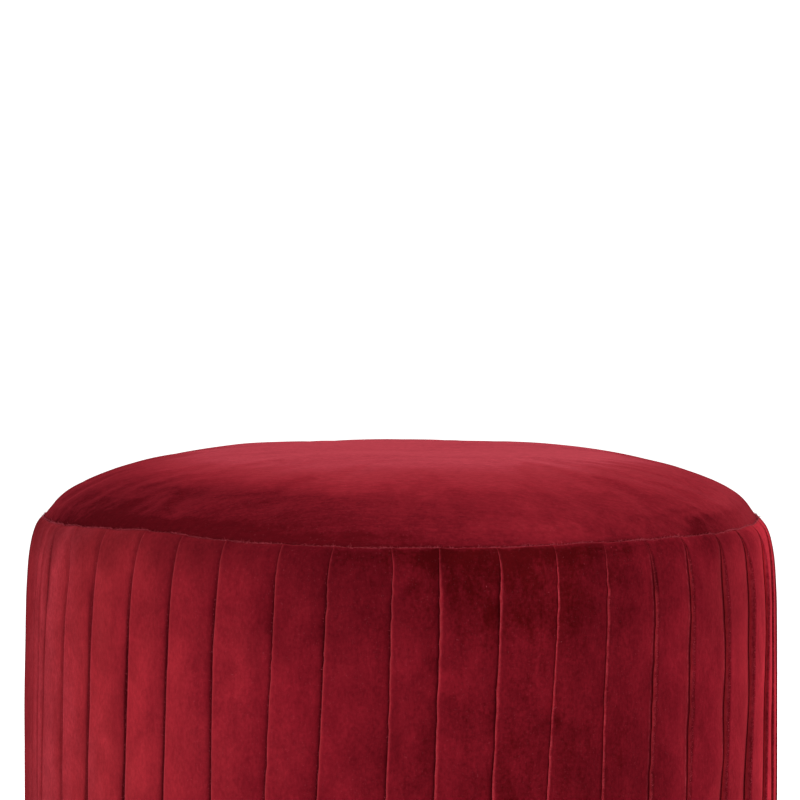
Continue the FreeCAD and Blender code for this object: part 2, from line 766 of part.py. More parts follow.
def build_glide_pad(number, angle):
    """Pad recessed below for the felt, with a seat for the stud head."""
    body = new_body("glide_pad_%d" % number)
    gap, felt_gap = 0.1, 0.15  # round the stud, and round the felt
    rim_in, rim_rise = 0.5, 0.6  # chamfer of the lower rim
    side_top, round_size, round_radius = 3.4, 2, 2.2  # rounded upper edge
    neck_low, neck_low_radius, neck_radius = 2.2, 11, 10  # tapered neck
    bottom, rim = size.pad_bottom, size.pad_radius
    felt_hole = size.felt_radius + felt_gap
    turned(body, [(felt_hole, bottom), (rim - rim_in, bottom), (rim, bottom + rim_rise),
                  (rim, bottom + side_top), (rim - round_size, bottom + side_top + round_size),
                  (neck_low_radius, size.pad_top - neck_low), (neck_radius, size.pad_top),
                  (size.stud_neck + gap, size.pad_top), (size.stud_neck + gap, head_top + gap),
                  (size.stud_head + gap, head_top + gap), (size.stud_head + gap, size.felt),
                  (felt_hole, size.felt)],
           {3: (round_radius, 1)})
    place_on_circle(body, size.glide_circle, angle)


def build_glide_stud(number, angle):
    """Flat head in the pad, plain neck, hex, then the M8 thread, drawn as
    plain rings of the right pitch."""
    body = new_body("glide_stud_%d" % number)
    hex_low = size.pad_top + 0.05
    hex_core = 6.2  # round core inside the hex
    tip_height, tip_in = 1, 0.9  # chamfer at the top of the stud
    thread_start, thread_rings = 2, 27  # first ring above the hex, and the count
    ring_half, ring_out = 0.75, 0.3  # half height of a ring's V, and its reach past the crest
    turned(body, [(0, head_low), (size.stud_head, head_low), (size.stud_head, head_top),
                  (size.stud_neck, head_top), (size.stud_neck, hex_low), (hex_core, hex_low),
                  (hex_core, size.hex_top), (size.stud_crest, size.hex_top),
                  (size.stud_crest, size.stud_top - tip_height),
                  (size.stud_crest - tip_in, size.stud_top), (0, size.stud_top)])
    sketch = new_sketch(body, "hexagon", "XY_Plane", hex_low)
    corner = size.flats / 2 / cosd(30)
    outline(sketch, [(corner * cosd(60 * i), corner * sind(60 * i)) for i in range(6)])
    pad(body, sketch, size.hex_top - hex_low, "hex")
    level = size.hex_top + thread_start
    crest = size.stud_crest + ring_out
    ring = groove(body, "root", ((0, 0), (0, 60)),
                  [(size.stud_root, level), (crest, level - ring_half),
                   (crest, level + ring_half)], "thread_root")
    rows = body.newObject("PartDesign::LinearPattern", body.Label + "_thread")
    rows.Originals = [ring]
    rows.Direction = (origin_part(body, "Z_Axis"), [""])
    rows.Occurrences = thread_rings
    length = (thread_rings - 1) * size.pitch
    rows.Length = length.value
    bind(rows, "Length", length)
    body.Tip = rows
    place_on_circle(body, size.glide_circle, angle)


# -------------------------------------------------------------------- build
build_base_board()
build_seat_board()
build_middle_hoop()
for number, angle in enumerate(turns(size.first_upright, size.upright_count), 1):
    build_upright(number, angle)
build_side_shell()
build_side_foam()
build_seat_foam()
build_crown_foam()
build_seat_wadding()
build_seat_cover()
build_side_cover()
build_seam_thread()
build_dust_cover()
build_board_screws("seat_board_screws", size.seat_board_top, -1)
build_board_screws("base_board_screws", size.base_level, 1)
build_hoop_screws()
build_shell_staples()
build_staple_ring("cover_staples", size.cover_staple_circle, size.cover_bottom,
                  size.cover_staple_count)
build_staple_ring("dust_cover_staples", size.dust_staple_circle,
                  size.cover_bottom - size.dust, size.dust_staple_count)
build_tee_nuts()
for number, angle in enumerate(turns(size.first_glide, size.glide_count), 1):
    build_glide_felt(number, angle)
    build_glide_pad(number, angle)
    build_glide_stud(number, angle)

# ------------------------------------------------------------------- output
doc.recompute()
for obj in doc.Objects:
    if "Invalid" in obj.State or "Error" in obj.State:
        raise RuntimeError("%s failed: %s" % (obj.Label, obj.State))
for body in pieces:
    if body.Shape.isNull() or not body.Shape.isValid():
        raise RuntimeError("bad shape: " + body.Label)
os.makedirs("parts", exist_ok=True)
for body in pieces:
    body.Shape.exportStep("parts/%s.step" % body.Label)
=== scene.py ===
"""Round velvet stool: crowned top panel, knife-pleated side band, four glides.

The stool stands on z = 0, round the z axis. Its front faces -Y and its right is +X. Angles are
degrees from the front towards the right. Lengths are millimetres until a mesh is made, then
metres. Numbers in the materials and the stage are metres.
"""
import json
import math

import bmesh
import bpy
import numpy as np
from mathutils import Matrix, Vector


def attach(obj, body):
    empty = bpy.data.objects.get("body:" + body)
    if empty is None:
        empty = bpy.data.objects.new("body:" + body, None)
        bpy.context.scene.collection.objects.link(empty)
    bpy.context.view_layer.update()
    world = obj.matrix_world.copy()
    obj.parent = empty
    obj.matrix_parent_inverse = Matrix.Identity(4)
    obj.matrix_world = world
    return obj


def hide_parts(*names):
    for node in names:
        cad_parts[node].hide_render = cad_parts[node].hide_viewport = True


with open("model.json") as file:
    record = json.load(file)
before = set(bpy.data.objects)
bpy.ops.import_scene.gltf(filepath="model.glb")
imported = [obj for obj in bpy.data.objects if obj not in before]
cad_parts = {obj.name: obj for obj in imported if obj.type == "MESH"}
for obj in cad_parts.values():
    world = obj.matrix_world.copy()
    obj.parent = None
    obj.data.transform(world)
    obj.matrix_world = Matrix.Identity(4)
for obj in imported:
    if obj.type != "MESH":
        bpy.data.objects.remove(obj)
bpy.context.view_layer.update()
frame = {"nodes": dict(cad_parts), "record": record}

# ============================================================ main lengths
MM = 0.001
OUTER_R = 200.0                        # outside of the pleats
SEAM_R, SEAM_Z = 189.0, 414.0          # seam between the top panel and the band
CROWN = 36.0                           # height of the top panel's middle over the seam
HEM_Z = 18.0                           # underside of the band
HEM_CORNER = 9.0                       # radius where the band turns under
HEM_IN_R = 165.5                       # inner edge of the part turned under
BAND_IN_R = 196.2                      # inside of the band
DEG_PER_MM = 180 / math.pi / OUTER_R   # along the outside of the pleats


# ================================================================= helpers
def wave_set(count, longest, shortest, seed):
    """Random sines with wavelengths between two limits: wave numbers, phases, sizes."""
    rng = np.random.default_rng(seed)
    length = np.exp(rng.uniform(math.log(shortest), math.log(longest), count))
    return 2 * math.pi / length, rng.uniform(0, 2 * math.pi, count), rng.uniform(0.5, 1.0, count)


def waves(x, wave):
    """Sum of a wave set at x, scaled to about 0.5 root mean square."""
    number, phase, size = wave
    total = (np.sin(np.multiply.outer(x, number) + phase) * size).sum(-1)
    return total / math.sqrt((size * size).sum() / 2) * 0.5


def smooth(start, end, x):
    """Smooth step from 0 at start to 1 at end."""
    t = np.clip((x - start) / (end - start), 0, 1)
    return t * t * (3 - 2 * t)


def wrapped(degrees):
    return (degrees + 180) % 360 - 180


def around(radius, degrees, z):
    """Points at a radius, an angle from the front and a height."""
    a = np.radians(degrees)
    return np.stack([radius * np.sin(a), -radius * np.cos(a), z + np.zeros_like(a)], -1)


def mesh_object(name, points, faces):
    """Smooth-shaded mesh from points in millimetres."""
    mesh = bpy.data.meshes.new(name)
    mesh.from_pydata([tuple(p) for p in np.asarray(points, float) * MM], [], faces)
    mesh.validate()
    mesh.update()
    mesh.polygons.foreach_set("use_smooth", [True] * len(mesh.polygons))
    return add_object(name, mesh)


def add_object(name, data):
    ob = bpy.data.objects.new(name, data)
    bpy.context.scene.collection.objects.link(ob)
    return ob


def face_outward(ob):
    bm = bmesh.new()
    bm.from_mesh(ob.data)
    bmesh.ops.recalc_face_normals(bm, faces=bm.faces)
    bm.to_mesh(ob.data)
    bm.free()


# =================================================================== folds
# Folds of the front, left to right. Each has its heights from the seam down, then its
# angles at those heights.
FOLDS = [
    ((413.5, 390.0, 275.0),
     (-79.2, -79.4, -80.2)),
    ((414.3, 405.9, 395.1, 377.9, 353.2, 322.9, 275.7),
     (-74.89, -71.86, -71.6, -71.9, -72.1, -72.3, -72.5)),
    ((413.5, 406.8, 396.0, 378.9, 354.6, 324.5, 277.8),
     (-70.59, -69.0, -68.9, -68.9, -69.0, -69.1, -69.2)),
    ((413.5, 392.2, 376.6, 350.8, 324.8, 298.8, 278.0),
     (-66.02, -65.36, -65.4, -66.02, -66.23, -66.64, -66.86)),
    ((413.5, 394.6, 379.3, 353.7, 328.1, 302.5, 281.9),
     (-59.62, -57.9, -58.4, -58.85, -58.93, -59.03, -59.04)),
    ((413.5, 396.4, 381.3, 355.9, 330.6, 305.1, 284.8),
     (-50.3, -50.61, -50.9, -51.19, -51.27, -51.56, -51.66)),
    ((413.5, 398.9, 383.9, 358.9, 333.9, 308.8, 288.7),
     (-41.42, -42.05, -42.47, -42.55, -42.81, -42.91, -43.19)),
    ((413.5, 400.7, 385.8, 361.1, 336.2, 311.4, 291.5),
     (-34.09, -34.47, -34.81, -34.97, -35.25, -35.43, -35.62)),
    ((413.5, 402.4, 387.7, 363.1, 338.5, 313.9, 294.2),
     (-26.52, -26.76, -27.0, -27.34, -27.44, -27.5, -27.51)),
    ((413.5, 403.4, 388.8, 364.3, 339.9, 315.4, 295.8),
     (-17.41, -17.87, -17.96, -18.15, -18.58, -18.92, -19.17)),
    ((413.5, 404.3, 389.8, 365.5, 341.1, 316.8, 297.2),
     (-9.68, -10.21, -10.3, -10.66, -10.92, -11.26, -11.58)),
    ((413.5, 404.9, 390.4, 366.2, 341.9, 317.7, 298.2),
     (-1.24, -0.93, -1.18, -1.35, -1.49, -1.7, -1.98)),
    ((413.5, 404.9, 390.4, 366.2, 341.9, 317.6, 298.2),
     (5.69, 5.55, 5.58, 5.5, 5.18, 4.99, 4.78)),
    ((413.5, 404.6, 390.0, 365.8, 341.5, 317.2, 297.7),
     (14.25, 14.45, 14.18, 13.94, 13.57, 13.22, 12.95)),
    ((413.5, 404.0, 389.4, 365.1, 340.7, 316.3, 296.7),
     (23.1, 22.89, 22.84, 22.36, 21.86, 21.35, 21.05)),
    ((413.5, 402.5, 387.8, 363.3, 338.7, 314.1, 294.4),
     (31.4, 30.88, 30.91, 30.52, 30.05, 29.81, 29.68)),
    ((413.5, 401.2, 386.4, 361.7, 337.0, 312.2, 292.4),
     (39.4, 39.32, 39.68, 39.27, 38.95, 38.47, 38.18)),
    ((413.5, 399.0, 384.0, 359.0, 334.0, 308.9, 288.8),
     (47.17, 47.06, 47.28, 47.02, 46.75, 46.38, 46.02)),
    ((413.5, 396.6, 381.5, 356.2, 330.8, 305.4, 285.1),
     (56.23, 55.78, 56.2, 56.25, 55.91, 55.65, 55.11)),
    ((413.5, 395.0, 379.7, 354.2, 328.7, 303.1, 282.6),
     (63.84, 65.01, 65.55, 64.96, 64.67, 63.67, 63.19)),
    ((413.5, 392.7, 377.2, 351.3, 325.5, 299.6, 278.8),
     (73.1, 73.64, 73.77, 73.15, 72.2, 71.82, 71.16)),
    ((413.5, 392.0, 350.0, 278.0),
     (80.39, 77.9, 77.2, 76.6)),
    ((413.5, 390.0, 275.0),
     (86.0, 84.4, 83.2)),
]
FOLD_COUNT = 45
FRONT_COUNT = len(FOLDS)
BACK_COUNT = FOLD_COUNT - FRONT_COUNT

# The folds round the back are spaced by chance.
chance = np.random.default_rng(77)
first_low, last_low = FOLDS[0][1][-1], FOLDS[-1][1][-1]
gaps = chance.uniform(0.92, 1.08, BACK_COUNT + 1)
gaps = gaps / gaps.sum() * (360 - (last_low - first_low))
for low in last_low + np.cumsum(gaps)[:-1]:
    lean = chance.uniform(0.4, 1.3)
    FOLDS.append(((413.5, 392.0, 340.0, 278.0),
                  (low + lean * 1.1, low + lean * 0.8, low + lean * 0.4, low)))

# radius of each fold's bend; folds 1 to 3 are narrow, side by side
bend_radius = chance.uniform(1.35, 1.75, FOLD_COUNT)
for fold, radius in {1: 1.0, 2: 1.0, 3: 1.0, 14: 1.05, 15: 1.05, 18: 1.75, 19: 1.9,
                     20: 1.25, 21: 0.9, 22: 1.0}.items():
    bend_radius[fold] = radius

# how dark the painted shade in each fold's crevice is
crevice_shade_by_fold = np.r_[[0.8, 0.45, 0.45, 0.80, 0.30, 0.62, 0.80, 0.72, 0.60, 0.36, 0.50, 0.28,
               0.36, 0.38, 0.0, 0.0, 0.30, 0.34, 0.42, 0.50, 0.70, 0.8, 0.8],
              chance.uniform(0.3, 0.7, BACK_COUNT)]


def waves_per_fold(count, longest, shortest, first_seed):
    return [wave_set(count, longest, shortest, first_seed + k) for k in range(FOLD_COUNT)]


wander_waves = waves_per_fold(5, longest=260, shortest=45, first_seed=900)
fray_waves = waves_per_fold(6, longest=24, shortest=5, first_seed=5900)
bend_waves = waves_per_fold(4, longest=200, shortest=40, first_seed=1900)
puff_waves = waves_per_fold(5, longest=220, shortest=50, first_seed=2900)

FOLD_BLUR, BLUR_TAPS = 7, 9            # half height a fold's line is averaged over; samples
RUN_OUT = 90                           # height over which a fold eases to upright


def fold_angle(k, z):
    """Angle of fold k at heights z (array); k may run on past a full turn."""
    fold, turn = k % FOLD_COUNT, 360.0 * (k // FOLD_COUNT)
    heights, angles = np.array(FOLDS[fold])[:, ::-1]
    slope = (angles[-1] - angles[0]) / (heights[-1] - heights[0])
    half = FOLD_BLUR * np.clip((SEAM_Z - z) / 14, 0.1, 1)
    total = 0
    for offset in np.linspace(-1, 1, BLUR_TAPS):
        at = z + offset * half
        # under its lowest listed point a fold runs on at its mean slope, then upright
        below = np.maximum(heights[0] - at, 0)
        run_on = slope * RUN_OUT * (1 - np.exp(-below / RUN_OUT))
        total = total + np.interp(at, heights, angles) - run_on
    wander = waves(z, wander_waves[fold]) * 0.11
    if fold < FRONT_COUNT:
        wander = wander * (1 - smooth(235, 275, z))
    fray = 0.075 if 8 < fold < 18 else 0.03
    wander = wander + waves(z, fray_waves[fold]) * fray * (1 - smooth(395, 410, z))
    return total / BLUR_TAPS + wander + turn


# ========================================================== drum and seam
def fuller(degrees, depth):
    """Extra radius: the drum is not quite round, its right shoulder is a little fuller."""
    side = np.sin(np.radians(degrees))
    near = smooth(-10, 9, depth)
    right = (0.5 + 0.5 * side) * 1.6 * near
    return right + (0.5 - 0.5 * side) * (0.3 * near + 0.8 * smooth(10, 130, depth))


seam_folds = np.array([fold_angle(k, np.array([413.5]))[0] for k in range(FOLD_COUNT)])
# the seam's wobble: size, waves in a turn, phase
SEAM_WOBBLE = [(0.30, 3, 0.6), (0.18, 7, 2.1), (0.16, 17, 0.3), (0.10, 41, 1.0)]
SEAM_STEP = 0.55                       # step down of the seam at every fold
STEP_SHARE = 0.12                      # part of the fold's width the step takes


def seam_lift(degrees):
    """Height wobble of the seam at an angle, stepping down a little at every fold
    because the gathered cloth is thicker there."""
    degrees = np.asarray(degrees, float)
    a = np.radians(degrees)
    z = sum(size * np.sin(turns * a + phase) for size, turns, phase in SEAM_WOBBLE)
    at = (degrees - seam_folds[0]) % 360 + seam_folds[0]
    k = np.clip(np.searchsorted(seam_folds, at, side="right") - 1, 0, FOLD_COUNT - 1)
    following = np.append(seam_folds[1:], seam_folds[0] + 360)[k]
    part = (at - seam_folds[k]) / (following - seam_folds[k])
    part = np.where(part < STEP_SHARE, 1 - part / STEP_SHARE,
                    (part - STEP_SHARE) / (1 - STEP_SHARE))
    return z + SEAM_STEP * (part - 0.5)


# the seam rides up on the left of the front: angle, height
SEAM_RISE = [
    (-180, 0.0), (-135, 0.3), (-100, 0.5), (-88, 0.6), (-78, 1.2), (-65, 2.0), (-60, 2.5),
    (-55, 3.4), (-50, 4.0), (-45, 5.0), (-40, 5.3), (-35, 4.6), (-30, 3.4), (-25, 2.6),
    (-20, 1.9), (-15, 1.4), (-10, 1.1), (-5, 0.6), (0, 0.3), (15, 0.4), (22, 0.5),
    (32, 0.8), (40, 0.4), (50, 0.0), (90, 0.0), (135, 0.3), (180, 0.0)]
RISE_REACH = 34.0                      # depth at which the band no longer feels the rise
RISE_STEP, RISE_BLUR, RISE_TAPS = 0.5, 2.5, 16     # degrees, degrees, samples each side

rise_degrees = np.arange(-180, 180, RISE_STEP)
rise_heights = np.interp(rise_degrees, *np.array(SEAM_RISE).T)
bell = np.exp(-0.5 * (np.arange(-RISE_TAPS, RISE_TAPS + 1) * RISE_STEP / RISE_BLUR) ** 2)
rise_heights = np.convolve(
    np.r_[rise_heights[-RISE_TAPS:], rise_heights, rise_heights[:RISE_TAPS]],
    bell / bell.sum(), "valid")


def seam_rise(degrees):
    return np.interp(np.asarray(degrees, float), rise_degrees, rise_heights, period=360)


# ============================================================ band profile
# Outside of the band over the shoulder: depth below the seam, inset from OUTER_R.
SHOULDER = np.array([
    (0, 10.5), (0.6, 9.5), (1.6, 8.4), (3.0, 7.3), (4.6, 6.35), (7.4, 5.2), (10.6, 4.2),
    (13.8, 3.45), (17, 2.85), (20, 2.35), (26, 1.75), (33, 1.3), (44, 0.8), (65, 0.5),
    (97, 0.25), (150, 0.0)])


def monotone(knots, values, at):
    """Cubic through the knots, its slopes limited so it never overshoots."""
    gap = np.diff(knots)
    rise = np.diff(values) / gap
    slope = np.zeros(len(values))
    same_way = rise[:-1] * rise[1:] > 0
    w1, w2 = 2 * gap[1:] + gap[:-1], gap[1:] + 2 * gap[:-1]
    with np.errstate(divide="ignore", invalid="ignore"):
        mean = (w1 + w2) / (w1 / rise[:-1] + w2 / rise[1:])
        slope[1:-1] = np.where(same_way, mean, 0)
    slope[0], slope[-1] = rise[0], rise[-1]
    i = np.clip(np.searchsorted(knots, at, side="right") - 1, 0, len(knots) - 2)
    width = knots[i + 1] - knots[i]
    t = (at - knots[i]) / width
    return ((2 * t ** 3 - 3 * t ** 2 + 1) * values[i]
            + (t ** 3 - 2 * t ** 2 + t) * width * slope[i]
            + (-2 * t ** 3 + 3 * t ** 2) * values[i + 1]
            + (t ** 3 - t ** 2) * width * slope[i + 1])


def profile_rows():
    """Rows of the band's outside from the seam to its turned-under edge: r, z, length."""
    points = [(OUTER_R - inset, SEAM_Z - depth) for depth, inset in SHOULDER]
    points.append((OUTER_R, HEM_Z + HEM_CORNER))
    for a in np.radians(np.linspace(0, 90, 8)[1:]):
        points.append((OUTER_R - HEM_CORNER + HEM_CORNER * math.cos(a),
                       HEM_Z + HEM_CORNER - HEM_CORNER * math.sin(a)))
    points.append((HEM_IN_R, HEM_Z))
    points = np.array(points)
    length = np.r_[0, np.cumsum(np.hypot(*(np.diff(points, axis=0).T)))]
    side_end = length[len(SHOULDER)]
    # row spacing up to each length: fine on the shoulder and corner, coarser on the side
    spacing = [(6, 0.75), (30, 1.7), (60, 3.0), (side_end - 12, 4.6), (side_end + 15, 1.6),
               (math.inf, 6.0)]
    s, rows = 0.0, []
    while s < length[-1] - 1:
        rows.append(s)
        s += next(step for limit, step in spacing if s < limit)
    rows = np.array(rows + [length[-1]])
    return monotone(length, points[:, 0], rows), monotone(length, points[:, 1], rows), rows


def profile_radius(depth):
    return np.interp(depth, SHOULDER[:, 0], OUTER_R - SHOULDER[:, 1])


profile_r, profile_z, profile_s = profile_rows()

# =========================================================== pleated band
LAYER_GAP = 0.14                       # air between two layers of cloth
TUCK = 4.5                             # how far the cloth runs in behind a fold
# Columns round a fold's bend: turn in degrees, painted shade on the left and front of the drum,
# painted shade on the right, painted highlight.
BEND = [(-80, 1.0, 0.75, 0), (-56, 0.9, 0.75, 0), (-32, 0.5, 0.85, 0.1), (-10, 0.15, 1.0, 0.6),
        (12, 0.0, 1.0, 1.0), (34, 0.0, 0.8, 0.7), (56, 0.0, 0.3, 0.25), (78, 0.0, 0.0, 0.0)]
FLAT_PARTS = [0.0, 0.14, 0.3, 0.48, 0.68, 0.86, 1.0]         # columns over the flat panel
EDGE_MM = [4.4, 3.2, 2.2, 1.4, 0.8, 0.3, -0.2]               # columns before the next fold
# painted highlight on the folds' edges: angle, strength
CREST_HIGHLIGHT = ([-70, -30, -10, 10, 30, 42, 60], [0.30, 0.45, 0.6, 0.85, 0.9, 0.35, 0.25])
EVEN_ROW, TURN_ROW = 5, 8              # rows that place the inner columns and the painted light by angle


def fold_columns(k):
    """Columns of fold k from left to right: a list of (angle by row, offset along the
    normal by row, painted shade by row, painted highlight), and evenly spaced angles for them."""
    z = profile_z
    start, end = fold_angle(k, z), fold_angle(k + 1, z)
    k_next = (k + 1) % FOLD_COUNT
    bend = bend_radius[k] * (1 + 0.16 * waves(z, bend_waves[k]))
    next_bend = bend_radius[k_next] * (1 + 0.16 * waves(z, bend_waves[k_next]))
    width = (end - start) / DEG_PER_MM
    puff = 0.35 * (1 + 0.9 * waves(z, puff_waves[k])) * np.clip(width / 20, 0.2, 1)
    place, next_place = wrapped(start[0]), wrapped(end[0])
    right, next_right = smooth(32, 48, place), smooth(32, 48, next_place)
    crest = np.interp(place, *CREST_HIGHLIGHT)
    # painted crevice shade, weaker near the seam and full further down
    shade_below_seam = 0.35 + 0.65 * smooth(6, 56, SEAM_Z - z)
    dark = np.clip(crevice_shade_by_fold[k] * shade_below_seam, 0, 1)
    next_dark = np.clip(crevice_shade_by_fold[k_next] * shade_below_seam, 0, 1)
    # on the left the edge columns start further back, but within a narrow fold's width
    hood = 2 * next_bend * math.tan(math.radians(min(max(-next_place, 0), 58)))
    margin = hood + EDGE_MM[0] + 2.0
    squeeze = np.minimum(1, 0.60 * width / margin)
    tuck_share = np.clip(width / 12, 0.4, 1)
    layer = 2 * next_bend + LAYER_GAP
    columns = []

    def add(angle, offset, shade, painted_highlight=0.0):
        columns.append((angle, offset, shade, painted_highlight))

    def panel_offset(angle):
        u = np.clip((angle - start) / (end - start), 0, 1)
        return -layer * (0.62 * u + 0.38 * u ** 5) + puff * np.sin(math.pi * u) ** 1.2

    # deepest point of the tuck, then the underside of the fold
    add(start + TUCK * DEG_PER_MM * tuck_share, -2 * bend, 0.2 + 0.8 * dark)
    add(start + (bend + 1.1) * DEG_PER_MM, -2 * bend + LAYER_GAP, dark * (1 - 0.4 * right))
    for turn, shade, right_shade, painted_highlight in BEND:
        a = math.radians(turn)
        add(start + bend * (1 - math.cos(a)) * DEG_PER_MM, -bend + bend * math.sin(a),
            dark * (shade * (1 - right) + right_shade * right), painted_highlight * crest)
    first = start + (0.8 * bend + 0.9) * DEG_PER_MM
    last = end - margin * squeeze * DEG_PER_MM
    for part in FLAT_PARTS:
        angle = first + (last - first) * part
        late = max(0, (part - 0.7) / 0.3)
        add(angle, panel_offset(angle), next_dark * 0.12 * (1 - next_right) * late)
    for edge in EDGE_MM:
        angle = end - np.maximum((hood + edge) * squeeze, 0.25) * DEG_PER_MM
        shade = 1.0
        if edge >= 0.5:                # a tight shadow and a wide faint one
            shade = (0.70 * math.exp(-(edge - 0.3) / 0.75)
                     + 0.26 * math.exp(-(edge - 0.3) / 3.2))
        # painted shade before the next fold, and on the right a painted highlight at the panel's
        # end
        add(angle, panel_offset(angle), next_dark * shade * (1 - next_right),
            0.85 * next_right * math.exp(-((edge - 0.5) / 0.8) ** 2))
    # in under the next fold
    add(end - 0.12 * DEG_PER_MM, -layer, next_dark * (1 - 0.7 * next_right))
    add(end + TUCK * 0.55 * DEG_PER_MM * tuck_share, -layer, 0.2 + 0.8 * next_dark)
    first, span = start[EVEN_ROW], end[EVEN_ROW] - start[EVEN_ROW]
    even = [first + span * c / len(columns) for c in range(len(columns))]
    return columns, even


def paint_fold_shade(shade):
    """Paint shade on two folds; shade is rows by columns."""
    per_fold = shade.shape[1] // FOLD_COUNT
    # painted shade in a patch on the left shoulder, dark across seven columns of fold 3
    shoulder_shade = smooth(372, 379, profile_z) * (1 - smooth(398, 409, profile_z))
    for c, dark in enumerate((0.1, 0.3, 0.6, 0.85, 0.7, 0.4, 0.1), start=3 * per_fold + 5):
        shade[:, c] = np.maximum(shade[:, c], dark * shoulder_shade)
    # painted shade on fold 16, on the right, over its tuck and bend
    fold_16_shade = 0.55 * smooth(384, 394, profile_z) * (1 - smooth(405, 411, profile_z))
    for c in range(16 * per_fold, 16 * per_fold + 2 + len(BEND)):
        shade[:, c] = np.maximum(shade[:, c], fold_16_shade)


# Painted light and shade round the drum, partly the pile's brushed lie and partly how the light
# falls: angles, then brightness at them.
LIGHT_AND_BRUSH = ([-90, -62, -42, -24, -10, 0, 12, 20, 30, 40, 55, 66, 76, 90],
          [1.0, 1.12, 1.23, 1.12, 1.10, 1.02, 1.10, 1.08, 0.98, 1.02, 1.2, 1.40, 2.3, 1.7])
# share of that brightness on the shoulder
SHOULDER_SHARE = ([-90, -62, -42, -24, -10, 0, 12, 20, 30, 40, 54, 64, 90],
                   [1.0, 0.98, 0.82, 0.84, 0.66, 0.86, 1.0, 1.08, 0.95, 0.95, 0.78, 0.92, 0.95])
# painted shade: how much darker it gets towards the seam
SEAM_DIM = ([-110, -80, -60, -42, -30, -20, -10, 0, 48, 58, 68, 76, 84],
            [0.1, 0.38, 0.42, 0.42, 0.38, 0.24, 0.10, 0.0, 0.0, 0.22, 0.22, 0.10, 0.0])


def paint_light_and_brush(degrees):
    """Painted brightness of the pile, rows by columns, for columns at these angles."""
    back = smooth(100, 130, np.abs(degrees))
    lit_by_angle = np.interp(degrees, *LIGHT_AND_BRUSH) * (1 - back) + back
    shoulder = np.interp(degrees, *SHOULDER_SHARE) * (1 - back) + 0.85 * back
    depth = (SEAM_Z - profile_z)[:, None]
    ragged = 14 * waves(degrees * 3.5, wave_set(5, longest=160, shortest=30, seed=4001))
    level = lit_by_angle * (shoulder + (1 - shoulder) * smooth(24, 66, depth + ragged))
    dim = np.interp(degrees, *SEAM_DIM)
    return level * (1 - dim * (1 - smooth(0, 21, depth + 0.25 * ragged)))


# Inside of the band from the hem up to the seam: r, z.
BAND_INSIDE = [
    (HEM_IN_R, 19.8), (BAND_IN_R - 4, 19.8), (BAND_IN_R, 24), (BAND_IN_R, 150),
    (BAND_IN_R, 300), (BAND_IN_R, 372), (195.2, 381), (193.7, 394), (192.2, 403),
    (191.4, 408), (190.9, 404.5), (189.5, 404.5), (189.4, 409)]


def build_band():
    columns, even = [], []
    for k in range(FOLD_COUNT):
        fold, fold_even = fold_columns(k)
        columns += fold
        even += fold_even
    angle, offset, shade = (np.stack([c[i] for c in columns], axis=1) for i in range(3))
    painted_highlight = np.array([c[3] for c in columns])
    paint_fold_shade(shade)

    along_r, along_z = np.gradient(profile_r, profile_s), np.gradient(profile_z, profile_s)
    size = np.hypot(along_r, along_z)
    normal_r, normal_z = -along_z / size, along_r / size
    # how proud the folds stand: flat where they are sewn, full 30 mm further down
    s, end = profile_s, profile_s[-1]
    proud = 0.10 + 0.90 * smooth(0, 30, s) ** 0.8
    proud = proud * (1 - 0.75 * smooth(end - 26, end - 6, s))

    points = []
    for i in range(len(s)):
        out = offset[i] * proud[i]
        keep = 1 - smooth(end - 190, end - 60, s[i])
        fullness = fuller(angle[i], SEAM_Z - profile_z[i]) * keep
        z = (profile_z[i] + out * normal_z[i] + seam_lift(angle[i]) * (1 - smooth(0, 16, s[i]))
             + seam_rise(angle[i]) * (1 - smooth(0, RISE_REACH, s[i])))
        points.append(around(profile_r[i] + out * normal_r[i] + fullness, angle[i], z))
    for r, z in BAND_INSIDE:
        points.append(around(r, np.array(even), z))
    rows, count = len(points), len(columns)
    faces = []
    for i in range(rows):
        below = (i + 1) % rows
        for c in range(count):
            right = (c + 1) % count
            faces.append((i * count + c, below * count + c,
                          below * count + right, i * count + right))
    band = mesh_object("pleated_side_band", np.concatenate(points), faces)

    flat = np.clip(proud / 0.9, 0, 1)[:, None]
    # painted shade in the crevices, weaker where the folds lie flat, and a painted shade line
    # along the seam
    painted_shade = shade * (0.35 + 0.65 * flat)
    painted_shade = np.maximum(painted_shade, 0.6 * (1 - smooth(0, 0.9, s))[:, None])
    # attribute name, values outside, value inside
    for name, outside, inside in (
            ("light_and_brush", paint_light_and_brush(wrapped(angle[TURN_ROW])) - 1, 0.0),
            ("painted_shade", painted_shade, 1.0),
            ("painted_highlight", painted_highlight * flat, 0.0)):
        values = np.concatenate([outside, np.full((len(BAND_INSIDE), count), inside)])
        at = band.data.attributes.new(name, "FLOAT", "POINT")
        at.data.foreach_set("value", values.astype(np.float32).ravel())
    face_outward(band)
    return band


band = build_band()

# =============================================================== top panel
PANEL_CELLS = 104                      # squares along each side of the grid
EDGE_GAP = 0.15                        # from the panel's edge to the seam's radius


def crown_height(r):
    q = np.clip(np.asarray(r, float) / SEAM_R, 0, 1)
    height = CROWN * (1 - q ** 3.76) ** 0.671
    slope = 1.38 * (1 - q) * SEAM_R    # the crown meets its seam at a slope, not square
    blend = 0.55                       # softness of the change between the two
    return (height - np.logaddexp(0, (height - slope) / blend) * blend
            + math.log(2) * blend * q ** 60)


